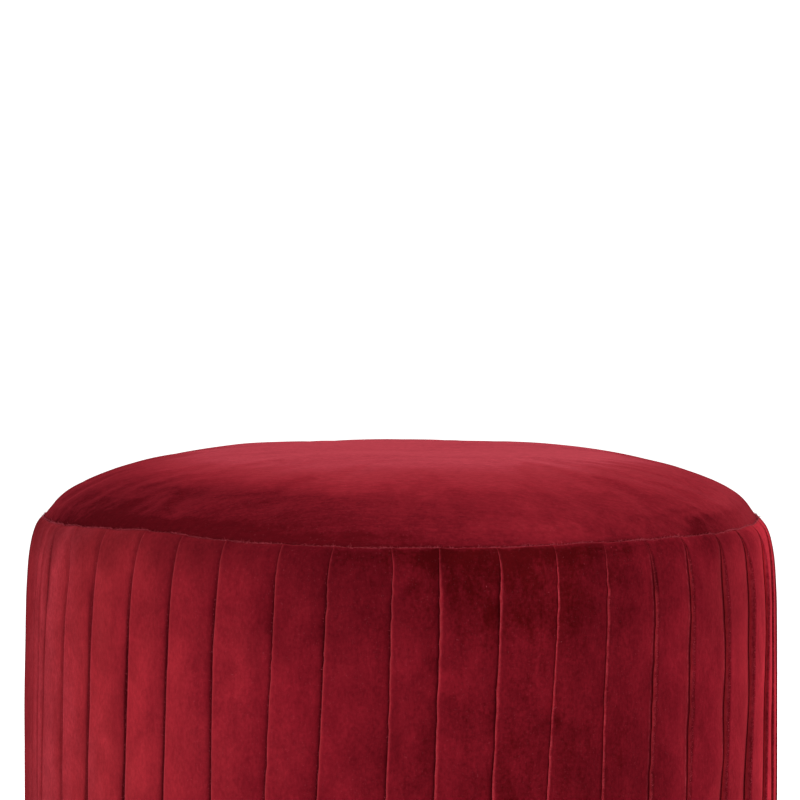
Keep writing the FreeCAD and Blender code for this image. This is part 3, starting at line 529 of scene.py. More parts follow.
def disc_grid():
    """Square grid wrapped into rings, spaced along the crown's arc: share of the way
    out, angle in radians from +X towards +Y, radius."""
    r = np.linspace(0, SEAM_R - EDGE_GAP, 4000)
    arc = np.r_[0, np.cumsum(np.hypot(np.diff(r), np.diff(crown_height(r))))]
    line = np.linspace(-1, 1, PANEL_CELLS + 1)
    x, y = np.meshgrid(line, line, indexing="ij")
    share = np.maximum(np.abs(x), np.abs(y))
    sideways = np.abs(x) > np.abs(y)
    y_by_x = np.divide(y, x, out=np.zeros_like(y), where=x != 0)
    x_by_y = np.divide(x, y, out=np.zeros_like(x), where=y != 0)
    a = np.where(sideways, np.pi / 4 * y_by_x, np.pi / 2 - np.pi / 4 * x_by_y)
    a = a + np.pi * np.where(sideways, x < 0, y < 0)
    return share, a, np.interp(share * arc[-1], arc, r)


grid_share, grid_a, grid_r = disc_grid()
lumps_a = wave_set(7, longest=150, shortest=50, seed=61)
lumps_b = wave_set(7, longest=150, shortest=50, seed=62)


def dome_points(height_share, lumps):
    """The grid laid on the crown, with the crown's height scaled and lumps added."""
    x, y = grid_r * np.cos(grid_a), grid_r * np.sin(grid_a)
    side = x / np.maximum(grid_r, 1e-6)
    z = SEAM_Z + crown_height(grid_r) * height_share
    # a swelling by the edge at both sides, and a hollow inside it on the right
    z = z + (0.8 * np.exp(-((grid_r - 176) / 10) ** 2) * np.clip(side * side, 0, 1)
             * (1 - smooth(183, 188.5, grid_r)))
    z = z - 0.5 * np.exp(-((grid_r - 146) / 20) ** 2) * np.clip(side, 0, 1)
    fade = smooth(0, 0.12, 1 - grid_share)
    z = z + lumps * fade * (waves(x + 0.6 * y, lumps_a) + waves(y - 0.5 * x, lumps_b))
    degrees = np.degrees(np.arctan2(x, -y))
    z = (z + seam_lift(degrees) * smooth(0.955, 1.0, grid_share)
         + seam_rise(degrees) * smooth(0.90, 1.0, grid_share))
    grow = 1 + fuller(degrees, 0) / SEAM_R * smooth(0.84, 1.0, grid_share)
    return np.stack([x * grow, y * grow, z], -1)


def grid_faces(first=0, flip=False):
    side = PANEL_CELLS + 1
    faces = []
    for i in range(PANEL_CELLS):
        for j in range(PANEL_CELLS):
            corner = first + i * side + j
            quad = (corner, corner + side, corner + side + 1, corner + 1)
            faces.append(quad[::-1] if flip else quad)
    return faces


CLOTH = {
    "quality": 6,
    "mass": 0.25,
    "tension_stiffness": 22,
    "compression_stiffness": 22,
    "shear_stiffness": 8,
    "bending_stiffness": 0.9,
    "tension_damping": 8,
    "compression_damping": 8,
    "air_damping": 2,
    "vertex_group_mass": "held",
    "use_pressure": True,
    "uniform_pressure_force": 4,
    "shrink_min": -0.012,
    "shrink_max": -0.012,
}
CLOTH_FRAMES, CACHE_END = 20, 22


def inflate(points):
    """Blow the panel up from below as cloth, held at its seam."""
    ob = mesh_object("panel_cloth", points.reshape(-1, 3), grid_faces())
    held = ob.vertex_groups.new(name="held")
    for vertex, weight in enumerate(smooth(0.965, 1.0, grid_share).ravel()):
        if weight > 0:
            held.add([vertex], float(weight), "REPLACE")
    modifier = ob.modifiers.new("cloth", "CLOTH")
    for key, value in CLOTH.items():
        setattr(modifier.settings, key, value)
    modifier.settings.effector_weights.gravity = 0
    modifier.collision_settings.use_collision = False
    modifier.collision_settings.use_self_collision = False
    modifier.point_cache.frame_start, modifier.point_cache.frame_end = 1, CACHE_END
    scene = bpy.context.scene
    for number in range(1, CLOTH_FRAMES + 1):
        scene.frame_set(number)
    mesh = ob.evaluated_get(bpy.context.evaluated_depsgraph_get()).to_mesh()
    blown = np.empty(len(mesh.vertices) * 3)
    mesh.vertices.foreach_get("co", blown)
    scene.frame_set(1)
    bpy.data.objects.remove(ob)
    return blown.reshape(points.shape) / MM


def panel_surface():
    """The crown with its mean profile kept; the cloth gives only the unevenness."""
    target = dome_points(1.0, lumps=0.0)
    slack = dome_points(0.93, lumps=0.9)
    top = target.copy()
    move = inflate(slack) - slack
    size = np.linalg.norm(move, axis=-1, keepdims=True)
    most = 12.0
    move = move * np.minimum(1, most / np.maximum(size, 1e-9))
    change = slack + move - target
    outward = np.stack([np.cos(grid_a), np.sin(grid_a)], -1)
    change_r = (change[..., :2] * outward).sum(-1)
    change_z = change[..., 2]
    ring = np.round(grid_share * PANEL_CELLS / 2).astype(int)
    for number in range(ring.max() + 1):
        mask = ring == number
        change_r[mask] -= change_r[mask].mean()
        change_z[mask] -= change_z[mask].mean()
    # a taut seat: most of the unevenness is pulled out, and the padding stays covered
    kept = 0.40
    change_z = np.clip(kept * change_z, -0.55, 0.9)
    change_r = np.clip(kept * change_r, -0.4, 0.4) * smooth(0, 0.03, 1 - grid_share)
    top[..., 2] += change_z
    top[..., :2] += outward * change_r[..., None]
    return top


# The panel's edge, turned down into the seam and back up: inset from SEAM_R, z, whether
# it follows the drum's fullness, whether it follows the seam's height.
PANEL_RIM = [(0.12, 413.3, 1, 1), (0.14, 411.5, 1, 0), (EDGE_GAP, 405.0, 0, 0),
             (2.0, 405.0, 0, 0), (2.0, 411.0, 0, 0)]
BACK_INSET, BACK_DROP = 2.3, 2.2       # the panel's underside, in and below its top


def build_panel():
    top = panel_surface()
    n, side = PANEL_CELLS, PANEL_CELLS + 1
    edge = ([(i, 0) for i in range(n)] + [(n, j) for j in range(n)]
            + [(i, n) for i in range(n, 0, -1)] + [(0, j) for j in range(n, 0, -1)])
    edge_a = np.array([grid_a[i, j] for i, j in edge])
    degrees = np.degrees(np.arctan2(np.cos(edge_a), -np.sin(edge_a)))
    points = [top.reshape(-1, 3)]
    loops = [[i * side + j for i, j in edge]]
    total = side * side
    for inset, height, follows_drum, follows_seam in PANEL_RIM:
        r = SEAM_R - inset + fuller(degrees, 0) * follows_drum
        z = height + (seam_lift(degrees) + seam_rise(degrees)) * follows_seam
        points.append(np.stack([r * np.cos(edge_a), r * np.sin(edge_a), z], -1))
        loops.append(list(range(total, total + len(edge))))
        total += len(edge)
    back = top.copy()
    back[..., :2] *= (SEAM_R - BACK_INSET) / SEAM_R
    back[..., 2] = SEAM_Z - BACK_DROP + (top[..., 2] - SEAM_Z)
    points.append(back.reshape(-1, 3))
    loops.append([total + i * side + j for i, j in edge])
    faces = grid_faces()
    for upper, lower in zip(loops[:-1], loops[1:]):
        for i in range(len(edge)):
            j = (i + 1) % len(edge)
            faces.append((upper[i], upper[j], lower[j], lower[i]))
    faces += grid_faces(total, flip=True)
    panel = mesh_object("seat_top_panel", np.concatenate(points), faces)
    face_outward(panel)
    subdivision = panel.modifiers.new("subdivision", "SUBSURF")
    subdivision.levels = subdivision.render_levels = 1
    return panel


panel = build_panel()

# ============================================================= loose pile
# Each group of fibres is (angle, radius, z, length, half thickness).
SEAM_FIBRES, CREST_FIBRES = 23000, 420           # before thinning; on each fold
# specks of lint and loose pile: angle, z
LINT = [
    (32.6, 411.6), (33.4, 409.5), (31.0, 410.8), (21.4, 392.6), (24.2, 408.6), (23.0, 368.0),
    (21.8, 336.0), (34.2, 412.2), (32.9, 411.0), (27.5, 405.0), (41.5, 407.5), (12.2, 396.0),
    (-24.0, 352.0), (7.6, 371.0), (47.2, 401.0), (-44.0, 384.0)]


def seam_fibres(rng):
    """Pile that stands out of the seam, thicker in some places than others."""
    angle = rng.uniform(0, 360, SEAM_FIBRES)
    t = np.radians(angle)
    density = (0.55 + 0.35 * np.sin(t * 23 + 1.3) * np.sin(t * 7 + 0.4)
               + 0.35 * np.sin(t * 61) * np.sin(t * 97 + 2))
    angle = angle[rng.uniform(0, 1, SEAM_FIBRES) < np.clip(density, 0.12, 1)]
    n = len(angle)
    radius = SEAM_R + 0.15 + fuller(angle, 0) + rng.normal(0, 0.16, n)
    z = SEAM_Z - 0.45 + seam_lift(angle) + seam_rise(angle) + rng.normal(0, 0.20, n)
    length = rng.uniform(0.7, 1.55, n) * np.where(rng.uniform(0, 1, n) < 0.06, 1.9, 1.0)
    return angle, radius, z, length, rng.uniform(0.06, 0.11, n)


def lint_fibres(rng):
    angle, z = np.array(LINT).T
    radius = profile_radius(SEAM_Z - z) + fuller(angle, SEAM_Z - z) - 0.5
    length = rng.uniform(1.2, 2.2, len(angle))
    return angle, radius, z, length, rng.uniform(0.10, 0.16, len(angle))


def crest_fibres(rng, k):
    """Frayed pile along the crest of fold k."""
    n = CREST_FIBRES
    z = HEM_Z + 20 + (SEAM_Z - 30 - HEM_Z) * rng.uniform(0, 1, n)
    angle = fold_angle(k, z) + (0.35 + rng.normal(0, 0.5, n)) * DEG_PER_MM
    depth = SEAM_Z - z
    radius = (profile_radius(depth) + fuller(angle, depth) * (1 - smooth(190, 320, depth))
              - 0.35)
    z = z + seam_rise(angle) * (1 - smooth(0, RISE_REACH, depth))
    return angle, radius, z, rng.uniform(0.35, 0.85, n), rng.uniform(0.06, 0.10, n)


def fibre_mesh(name, roots, directions, lengths, widths, curl, seed):
    """Tapered three-sided fibres: rings of points at the root and part way, then a tip."""
    rng = np.random.default_rng(seed)
    n = len(roots)
    side = np.cross(directions, rng.normal(size=(n, 3)))
    side /= np.linalg.norm(side, axis=1, keepdims=True) + 1e-9
    other = np.cross(directions, side)
    bend = rng.normal(size=(n, 3)) * curl
    points = []
    for part, taper in ((0.0, 1.0), (0.55, 0.8)):
        middle = (roots + directions * (lengths[:, None] * part)
                  + bend * (lengths[:, None] * part * part))
        for a in map(math.radians, (0, 120, 240)):
            points.append(middle + (side * math.cos(a) + other * math.sin(a))
                          * (widths[:, None] * taper))
    points.append(roots + directions * lengths[:, None] + bend * lengths[:, None])
    faces = []
    for first in range(0, 7 * n, 7):
        faces.append((first, first + 2, first + 1))
        for i in range(3):
            a, b = first + i, first + (i + 1) % 3
            faces.append((a, b, b + 3, a + 3))
            faces.append((a + 3, b + 3, first + 6))
    return mesh_object(name, np.stack(points, 1).reshape(-1, 3), faces)


def build_pile():
    rng = np.random.default_rng(909)
    groups = [seam_fibres(rng), lint_fibres(rng)]
    groups += [crest_fibres(rng, k) for k in range(FOLD_COUNT)]
    angle, radius, z, length, width = np.hstack([np.array(group) for group in groups])
    n = len(angle)
    a = np.radians(angle)
    outward = around(1.0, angle, 0.0)
    along = np.stack([np.cos(a), np.sin(a), np.zeros(n)], -1)
    direction = (outward * rng.uniform(0.35, 1.0, n)[:, None]
                 + along * rng.normal(0, 0.8, n)[:, None])
    direction[:, 2] += rng.uniform(-0.25, 0.9, n)
    direction /= np.linalg.norm(direction, axis=1, keepdims=True)
    return fibre_mesh("seam_pile", around(radius, angle, z), direction, length, width,
                      curl=0.25, seed=910)


pile = build_pile()


# ============================================================= node graphs
class Graph:
    """Node tree of a material or world; most methods add a node and return its output."""

    def __init__(self, owner):
        owner.use_nodes = True
        self.owner = owner
        self.tree = owner.node_tree
        self.tree.nodes.clear()

    def feed(self, socket, value):
        """Link a socket to an output, or set its value."""
        if isinstance(value, bpy.types.NodeSocket):
            self.tree.links.new(value, socket)
        elif socket.type == "RGBA":
            socket.default_value = (*value[:3], 1)
        else:
            socket.default_value = value

    def node(self, kind, inputs=None, **settings):
        node = self.tree.nodes.new(kind)
        for key, value in settings.items():
            setattr(node, key, value)
        for key, value in (inputs or {}).items():
            self.feed(node.inputs[key], value)
        return node

    def math(self, operation, *values, clamp=False):
        return self.node("ShaderNodeMath", dict(enumerate(values)), operation=operation,
                         use_clamp=clamp).outputs[0]

    def add(self, a, b):
        return self.math("ADD", a, b)

    def minus(self, a, b):
        return self.math("SUBTRACT", a, b)

    def times(self, product, *factors):
        for factor in factors:
            product = self.math("MULTIPLY", product, factor)
        return product

    def times_add(self, value, factor, plus, clamp=False):
        return self.math("MULTIPLY_ADD", value, factor, plus, clamp=clamp)

    def vector(self, operation, *vectors, scale=None):
        inputs = dict(enumerate(vectors))
        if scale is not None:
            inputs["Scale"] = scale
        node = self.node("ShaderNodeVectorMath", inputs, operation=operation)
        return node.outputs["Value" if operation in ("DOT_PRODUCT", "LENGTH") else 0]

    def split(self, vector):
        return self.node("ShaderNodeSeparateXYZ", {0: vector}).outputs

    def stretch(self, vector, scale):
        return self.node("ShaderNodeMapping", {"Scale": scale, "Vector": vector}).outputs["Vector"]

    def noise(self, vector, scale, detail=2.0, rough=0.5, distort=0.0):
        inputs = {"Scale": scale, "Detail": detail, "Roughness": rough,
                  "Distortion": distort, "Vector": vector}
        return self.node("ShaderNodeTexNoise", inputs).outputs["Fac"]

    def ease(self, value, start, end, low=0.0, high=1.0):
        """Smooth step from low at start to high at end."""
        inputs = {"From Min": start, "From Max": end, "To Min": low, "To Max": high,
                  "Value": value}
        return self.node("ShaderNodeMapRange", inputs,
                         interpolation_type="SMOOTHSTEP").outputs[0]

    def ramp(self, value, stops):
        """Colour ramp; a stop is its place, then a colour or a grey level."""
        node = self.node("ShaderNodeValToRGB", {"Fac": value})
        elements = node.color_ramp.elements
        while len(elements) > 1:
            elements.remove(elements[-1])
        for i, (place, color) in enumerate(stops):
            if isinstance(color, float):
                color = (color,) * 3
            element = elements.new(place) if i else elements[0]
            element.position, element.color = place, (*color, 1)
        return node.outputs["Color"]

    def mix(self, factor, a, b, mode="MIX"):
        node = self.node("ShaderNodeMix", data_type="RGBA", blend_type=mode)
        colors = [socket for socket in node.inputs if socket.type == "RGBA"]
        for socket, value in ((node.inputs["Factor"], factor), (colors[0], a), (colors[1], b)):
            self.feed(socket, value)
        return [socket for socket in node.outputs if socket.type == "RGBA"][0]

    def position(self):
        return self.node("ShaderNodeTexCoord").outputs["Object"]

    def attribute(self, name):
        return self.node("ShaderNodeAttribute", attribute_name=name).outputs["Fac"]

    def surface(self, shader, kind="ShaderNodeOutputMaterial"):
        self.node(kind, {"Surface": shader})
        return self.owner

    def bumpy(self, color, height, distance, strength=1.0, **inputs):
        """Principled surface with a bump; underscores in input names stand for spaces."""
        bump = self.node("ShaderNodeBump", {"Strength": strength, "Distance": distance,
                                            "Height": height})
        inputs = {key.replace("_", " "): value for key, value in inputs.items()}
        inputs.update({"Base Color": color, "Normal": bump.outputs[0]})
        return self.surface(self.node("ShaderNodeBsdfPrincipled", inputs).outputs[0])


def new_graph(name):
    return Graph(bpy.data.materials.new(name))


# ================================================================== velvet
# Colours from looking down the pile (0) to looking across it (1): a painted sheen, brighter and
# paler seen across the pile.
SIDE_RAMP = [
    (0, (0.0607, 0.0021, 0.0032)), (0.12, (0.1178, 0.0044, 0.0088)),
    (0.26, (0.1741, 0.0070, 0.0138)), (0.42, (0.2371, 0.0115, 0.0197)),
    (0.58, (0.2951, 0.0159, 0.0248)), (0.72, (0.3426, 0.0209, 0.0299)),
    (0.84, (0.3839, 0.0261, 0.0371)), (0.92, (0.4244, 0.0322, 0.0451)),
    (1, (0.4661, 0.0387, 0.0537))]
TOP_RAMP = [
    (0.0, (0.0950, 0.0036, 0.0067)), (0.08, (0.1430, 0.0063, 0.0117)),
    (0.16, (0.1900, 0.0091, 0.0161)), (0.30, (0.2550, 0.0139, 0.0228)),
    (0.50, (0.3050, 0.0196, 0.0307)), (0.70, (0.3400, 0.0253, 0.0372)),
    (0.84, (0.3800, 0.0320, 0.0474)), (0.92, (0.4300, 0.0430, 0.0618)),
    (1.0, (0.4900, 0.0535, 0.0742))]
PILE_RAMP = [(0.0, (0.40, 0.045, 0.064)), (0.5, (0.50, 0.078, 0.105)), (1.0, (0.62, 0.15, 0.18))]
# Painted light and shade on the top by its tilt, partly the pile's brushed lie, from 0 at a 60
# degree slope
# to 1 where level: darkening everywhere, and brightening on the left (before LEFT_BASE is taken
# off).
TOP_DARK = [(0.0, 0.24), (0.42, 0.25), (0.60, 0.35), (0.752, 0.44), (0.88, 0.50),
            (0.944, 0.32), (0.976, 0.12), (0.992, 0.0)]
TOP_LEFT = [(0.50, 0.24), (0.64, 0.29), (0.76, 0.28), (0.85, 0.20), (0.90, 0.09),
            (0.94, 0.04), (0.965, 0.08), (0.985, 0.20)]
LEFT_BASE = 0.20


def paint_top_light_and_brush(graph, x, level, incoming, rim):
    """Add the top's painted light and shade, partly the pile's brushed lie, to rim. x is the place
    across the stool; level is the normal's z, 1 where the cloth lies flat."""
    def over_x(**span):
        return graph.ease(x, **span)

    def over_level(**span):
        return graph.ease(level, **span)

    left = over_x(start=0.0, end=-0.11)
    right = graph.times(over_x(start=0.06, end=0.11), over_x(start=0.178, end=0.150))
    steep = over_level(start=0.985, end=0.82)
    gentle = over_level(start=0.997, end=0.95)
    tilt = graph.times_add(level, factor=2.0, plus=-1.0, clamp=True)
    shoulder = over_level(start=0.88, end=0.68, low=0.13, high=-0.22)
    bias = graph.times(over_x(start=0.08, end=0.15), shoulder)
    bias = graph.minus(bias, graph.ramp(tilt, TOP_DARK))
    for place, amount, slope in ((left, 0.10, steep), (right, 0.12, gentle),
                                 (left, 0.06, gentle)):
        bias = graph.minus(bias, graph.times(place, amount, slope))
    # painted brightening on the left slope, partly the pile brushed the other way
    turned = graph.minus(graph.ramp(tilt, TOP_LEFT), LEFT_BASE)
    bias = graph.times_add(over_x(start=-0.02, end=-0.09), factor=turned, plus=bias)
    # painted shade patches on the left corner and on the right slope and edge
    left_corner = graph.times(over_x(start=-0.110, end=-0.150, high=0.15),
                              over_level(start=0.95, end=0.88))
    right_slope = graph.times(over_x(start=0.100, end=0.130, high=0.12),
                              over_x(start=0.168, end=0.150),
                              over_level(start=0.70, end=0.78),
                              over_level(start=0.95, end=0.90))
    right_edge = graph.times(over_x(start=0.140, end=0.152, high=0.15),
                             over_x(start=0.182, end=0.172),
                             over_level(start=0.70, end=0.62))
    for patch in (left_corner, right_slope, right_edge):
        bias = graph.minus(bias, patch)
    # the painted light and shade show most when the cloth is seen from low down
    low = graph.ease(graph.split(incoming)["Z"], start=0.10, end=0.34, low=1.0, high=0.12)
    return graph.times_add(bias, factor=low, plus=rim)


def velvet(name, stops, side, lean, patch_amount=0.20, fine_amount=0.13):
    """Cut-pile velvet. The pile leans over, so the cloth is dark where it is seen down
    the pile and bright and paler where it is seen across it: a painted sheen, set in the colour
    by the viewing angle. lean is (along the cloth, up) on the band and (x, y) on the top."""
    graph = new_graph(name)
    pos = graph.position()
    geometry = graph.node("ShaderNodeNewGeometry").outputs
    normal, incoming = geometry["Normal"], geometry["Incoming"]

    def texture(stretch, scale, detail, rough, distort=0.0):
        return graph.noise(graph.stretch(pos, stretch), scale, detail, rough, distort)

    # brushed patches: soft clouds, smears along the cloth, fine ribs
    patch = texture((1, 1, 0.7) if side else (0.3, 1, 1), scale=42, detail=4.0, rough=0.6,
                    distort=1.0)
    broad = texture((1, 1, 1) if side else (0.35, 1, 1), scale=12, detail=2.0, rough=0.5,
                    distort=0.6)
    smear = texture((1, 1, 0.16) if side else (0.12, 1, 1), scale=170, detail=3.0, rough=0.6,
                    distort=0.5)
    fine = graph.noise(pos, scale=520, detail=3.0, rough=0.65)

    seen_from = incoming
    if side:
        along = graph.vector("CROSS_PRODUCT", (0.0, 0.0, 1.0), normal)
        along = graph.vector("SCALE", along, scale=lean[0])
        lean_vector = graph.vector("ADD", along, (0.0, 0.0, lean[1]))
        # the pile's lean shows less from above than from the side
        seen_from = graph.vector("MULTIPLY", seen_from, (1.0, 1.0, 0.3))
        seen_from = graph.vector("NORMALIZE", seen_from)
    else:
        lean_vector = graph.vector("ADD", (*lean, 0.0), (0.0, 0.0, 0.0))
    pile_way = graph.vector("NORMALIZE", graph.vector("ADD", normal, lean_vector))
    facing = graph.math("ABSOLUTE", graph.vector("DOT_PRODUCT", pile_way, seen_from))
    rim = graph.minus(1.0, facing)
    for source, amount in ((patch, patch_amount), (broad, patch_amount * 0.8),
                           (smear, patch_amount * 0.55), (fine, fine_amount)):
        rim = graph.add(rim, graph.times_add(source, factor=2 * amount, plus=-amount))
    if not side:
        rim = paint_top_light_and_brush(graph, graph.split(pos)["X"], graph.split(normal)["Z"], incoming, rim)
    rim = graph.math("MINIMUM", graph.math("MAXIMUM", rim, 0.0), 1.0)
    color = graph.ramp(rim, stops)

    # painted highlight along the folds' edges, broken up by grain; painted shade down in the tucks
    grain = texture((1, 1, 0.7), scale=560, detail=3.0, rough=0.75)
    grain = graph.times_add(grain, factor=4.5, plus=-1.75, clamp=True)
    color = graph.mix(graph.times(graph.attribute("painted_highlight"), grain, 0.8), color,
                      (0.52, 0.055, 0.075))
    # painted shade: the colour is multiplied down towards this in the crevices and tucks
    shade = graph.mix(1.0, color, (0.09, 0.07, 0.08), mode="MULTIPLY")
    color = graph.mix(graph.attribute("painted_shade"), color, shade)
    # brightness: painted light and shade by angle (partly the brushed pile) and soft clouds on the
    # band, fine nap on both
    if side:
        level = graph.times(graph.add(graph.attribute("light_and_brush"), 1.0), 1.09)
        cloud = texture((1, 1, 0.8), scale=46, detail=3.0, rough=0.52, distort=1.2)
        level = graph.times(level, graph.ease(cloud, start=0.30, end=0.72, low=0.885, high=1.10))
        nap = texture((1, 1, 0.5), scale=820, detail=2.0, rough=0.6)
        level = graph.times(level, graph.ease(nap, start=0.25, end=0.75, low=0.90, high=1.10))
    else:
        nap = texture((0.35, 1, 1), scale=620, detail=3.0, rough=0.65)
        level = graph.ease(nap, start=0.25, end=0.75, low=0.86, high=1.14)
    color = graph.vector("SCALE", color, scale=level)
    # pale specks: lint, and painted glints on pile tips
    speck = graph.noise(pos, scale=1500, detail=1.0)
    tip = graph.times(graph.math("GREATER_THAN", speck, 0.72), 0.09)
    color = graph.mix(tip, color, (0.62, 0.14, 0.18))
    height = graph.times_add(fine, factor=0.5, plus=graph.times(smear, 0.7))
    return graph.bumpy(color, height, distance=0.0006, strength=0.30, Roughness=0.95,
                       Specular_IOR_Level=0.0, Sheen_Weight=0.02, Sheen_Roughness=0.4,
                       Sheen_Tint=(0.9, 0.25, 0.32))


velvet_side = velvet("velvet_side", SIDE_RAMP, side=True, lean=(-0.4, -0.5), patch_amount=0.145)
velvet_top = velvet("velvet_top", TOP_RAMP, side=False, lean=(0.6, 0.05), patch_amount=0.09,
                    fine_amount=0.10)
velvet_pile = velvet("velvet_pile", PILE_RAMP, side=False, lean=(0.0, 0.0))


# ========================================================= other materials
def mottled(name, stops, scale, stretch=(1, 1, 1), rough=(0.7, 0.85), bump=0.0004, detail=4.0,
            metal=0.0, sheen=0.0, specular=0.4, distort=0.3):
    """Surface coloured by noise; rough is its lowest and highest roughness."""
    graph = new_graph(name)
    vector = graph.stretch(graph.position(), stretch)
    coarse = graph.noise(vector, scale, detail, rough=0.55, distort=distort)
    fine = graph.noise(vector, scale * 4.3)
    mottle = graph.times_add(fine, factor=0.35, plus=graph.times(coarse, 0.75), clamp=True)
    roughness = graph.times_add(fine, factor=rough[1] - rough[0], plus=rough[0])
    return graph.bumpy(graph.ramp(mottle, stops), mottle, distance=bump, strength=0.4,
                       Roughness=roughness, Metallic=metal, Specular_IOR_Level=specular,
                       Sheen_Weight=sheen)


def plywood(name):
    """Face grain on top, dark and light plies on the edge."""
    graph = new_graph(name)
    pos = graph.position()
    normal = graph.node("ShaderNodeNewGeometry").outputs["Normal"]
    grain = graph.noise(graph.stretch(pos, (1, 14, 1)), scale=22, detail=5.0, rough=0.6,
                        distort=0.8)
    face = graph.ramp(grain, [(0.25, (0.42, 0.26, 0.13)), (0.55, (0.62, 0.44, 0.25)),
                              (0.8, (0.72, 0.55, 0.34))])
    plies_per_metre = 1000 / 2.5
    pair = graph.times(graph.split(pos)["Z"], plies_per_metre, 0.5)
    light = graph.math("GREATER_THAN", graph.math("FRACT", pair), 0.5)
    ends = graph.noise(pos, scale=900, detail=3.0, rough=0.6)
    dark_ply = graph.mix(ends, (0.36, 0.22, 0.11), (0.50, 0.33, 0.17))
    light_ply = graph.mix(ends, (0.66, 0.50, 0.31), (0.78, 0.62, 0.42))
    edge = graph.mix(light, dark_ply, light_ply)
    level = graph.math("ABSOLUTE", graph.split(normal)["Z"])
    color = graph.mix(graph.math("GREATER_THAN", level, 0.6), edge, face)
    return graph.bumpy(color, grain, distance=0.0004, strength=0.3, Roughness=0.72)


def foam(name, stops, scale):
    """Open-cell foam: small pits."""
    graph = new_graph(name)
    pos = graph.position()
    pits = graph.node("ShaderNodeTexVoronoi", {"Scale": scale, "Vector": pos}).outputs["Distance"]
    clouds = graph.noise(pos, scale=18, detail=3.0)
    tone = graph.times_add(clouds, factor=0.5, plus=graph.times(pits, 0.8), clamp=True)
    return graph.bumpy(graph.ramp(tone, stops), pits, distance=0.0008, strength=0.6,
                       Roughness=0.9, Specular_IOR_Level=0.15)


def spunbond(name):
    """Spun-bonded black cloth with a fine embossed grid."""
    graph = new_graph(name)
    pos = graph.position()
    lines = [graph.node("ShaderNodeTexWave", {"Scale": 260, "Vector": pos},
                        bands_direction=direction).outputs["Fac"] for direction in "XY"]
    fibres = graph.noise(pos, scale=600, detail=3.0, rough=0.6)
    tone = graph.times_add(graph.times(*lines), factor=0.5, plus=graph.times(fibres, 0.5))
    color = graph.ramp(tone, [(0.2, (0.008, 0.008, 0.009)), (0.8, (0.035, 0.035, 0.038))])
    return graph.bumpy(color, tone, distance=0.0003, Roughness=0.85)


# material of each slot; the velvet slot is left out
materials = {
    "thread": mottled("sewing_thread", [(0.3, (0.10, 0.006, 0.012)), (0.8, (0.24, 0.02, 0.035))],
                      scale=900, bump=0.0002),
    "foam": foam("firm_foam", [(0.2, (0.55, 0.47, 0.30)), (0.8, (0.80, 0.72, 0.52))], scale=900),
    "soft_foam": foam("soft_foam", [(0.2, (0.62, 0.60, 0.54)), (0.8, (0.86, 0.84, 0.78))],
                      scale=700),
    "wadding": mottled("wadding", [(0.25, (0.70, 0.70, 0.68)), (0.75, (0.90, 0.90, 0.88))],
                       scale=260, stretch=(1, 1, 0.4), rough=(0.9, 1.0), bump=0.002,
                       sheen=0.3, specular=0.1),
    "plywood": plywood("birch_plywood"),
    "pine": mottled("pine", [(0.2, (0.48, 0.28, 0.12)), (0.5, (0.68, 0.47, 0.24)),
                             (0.85, (0.80, 0.60, 0.36))],
                    scale=26, stretch=(3.2, 3.2, 0.12), rough=(0.6, 0.8), bump=0.0006,
                    detail=6.0, distort=1.2),
    "bending_board": mottled("bending_board", [(0.2, (0.24, 0.15, 0.08)),
                                               (0.8, (0.40, 0.27, 0.15))],
                             scale=120, stretch=(1, 1, 0.15), rough=(0.6, 0.85), bump=0.0003),
    "felt": mottled("wool_felt", [(0.2, (0.07, 0.065, 0.06)), (0.6, (0.14, 0.13, 0.12)),
                                  (0.9, (0.26, 0.25, 0.23))],
                    scale=900, rough=(0.9, 1.0), bump=0.0006, sheen=0.35, specular=0.05),
    "glide_plastic": mottled("black_nylon", [(0.2, (0.012, 0.012, 0.013)),
                                             (0.8, (0.026, 0.026, 0.028))],
                             scale=420, rough=(0.38, 0.62), bump=0.0001, specular=0.45),
    "zinc_steel": mottled("zinc_plated_steel", [(0.2, (0.42, 0.43, 0.45)),
                                                (0.6, (0.62, 0.63, 0.65)),
                                                (0.9, (0.74, 0.73, 0.70))],
                          scale=160, rough=(0.22, 0.48), bump=0.0001, metal=1.0),
    "lining": spunbond("spunbond_lining"),
}

# ======================================================= dress the pieces
slot_of = {part["node"]: part["material_slot"] for part in frame["record"]["subparts"]}
for name, ob in frame["nodes"].items():
    own_velvet = velvet_side if name == "side_cover" else velvet_top
    ob.data.materials.clear()
    ob.data.materials.append(materials.get(slot_of[name], own_velvet))

band.data.materials.append(velvet_side)
panel.data.materials.append(velvet_top)
pile.data.materials.append(velvet_pile)
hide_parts("side_cover")
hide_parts("seat_cover")
for ob in (band, panel, pile):
    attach(ob, "stool")

# =================================================================== stage
FLOOR_Z, FLOOR_HALF = -0.0002, 40.0


def floor_material():
    """Pale floor that glows, to the camera only, more strongly away from the stool."""
    graph = new_graph("pale_floor")
    pos = graph.position()
    color = graph.ramp(graph.noise(pos, scale=3.0, detail=3.0),
                       [(0.2, (0.80, 0.80, 0.80)), (0.8, (0.84, 0.84, 0.84))])
    matt = graph.node("ShaderNodeBsdfPrincipled", {
        "Base Color": color, "Roughness": 0.9, "Specular IOR Level": 0.1})
    strength = graph.ease(graph.vector("LENGTH", pos), start=0.3, end=1.7, low=0.30, high=1.2)
    to_camera = graph.node("ShaderNodeLightPath").outputs["Is Camera Ray"]
    glow = graph.node("ShaderNodeEmission", {"Strength": graph.times(strength, to_camera)})
    both = graph.node("ShaderNodeAddShader", {0: matt.outputs[0], 1: glow.outputs[0]})
    return graph.surface(both.outputs[0])


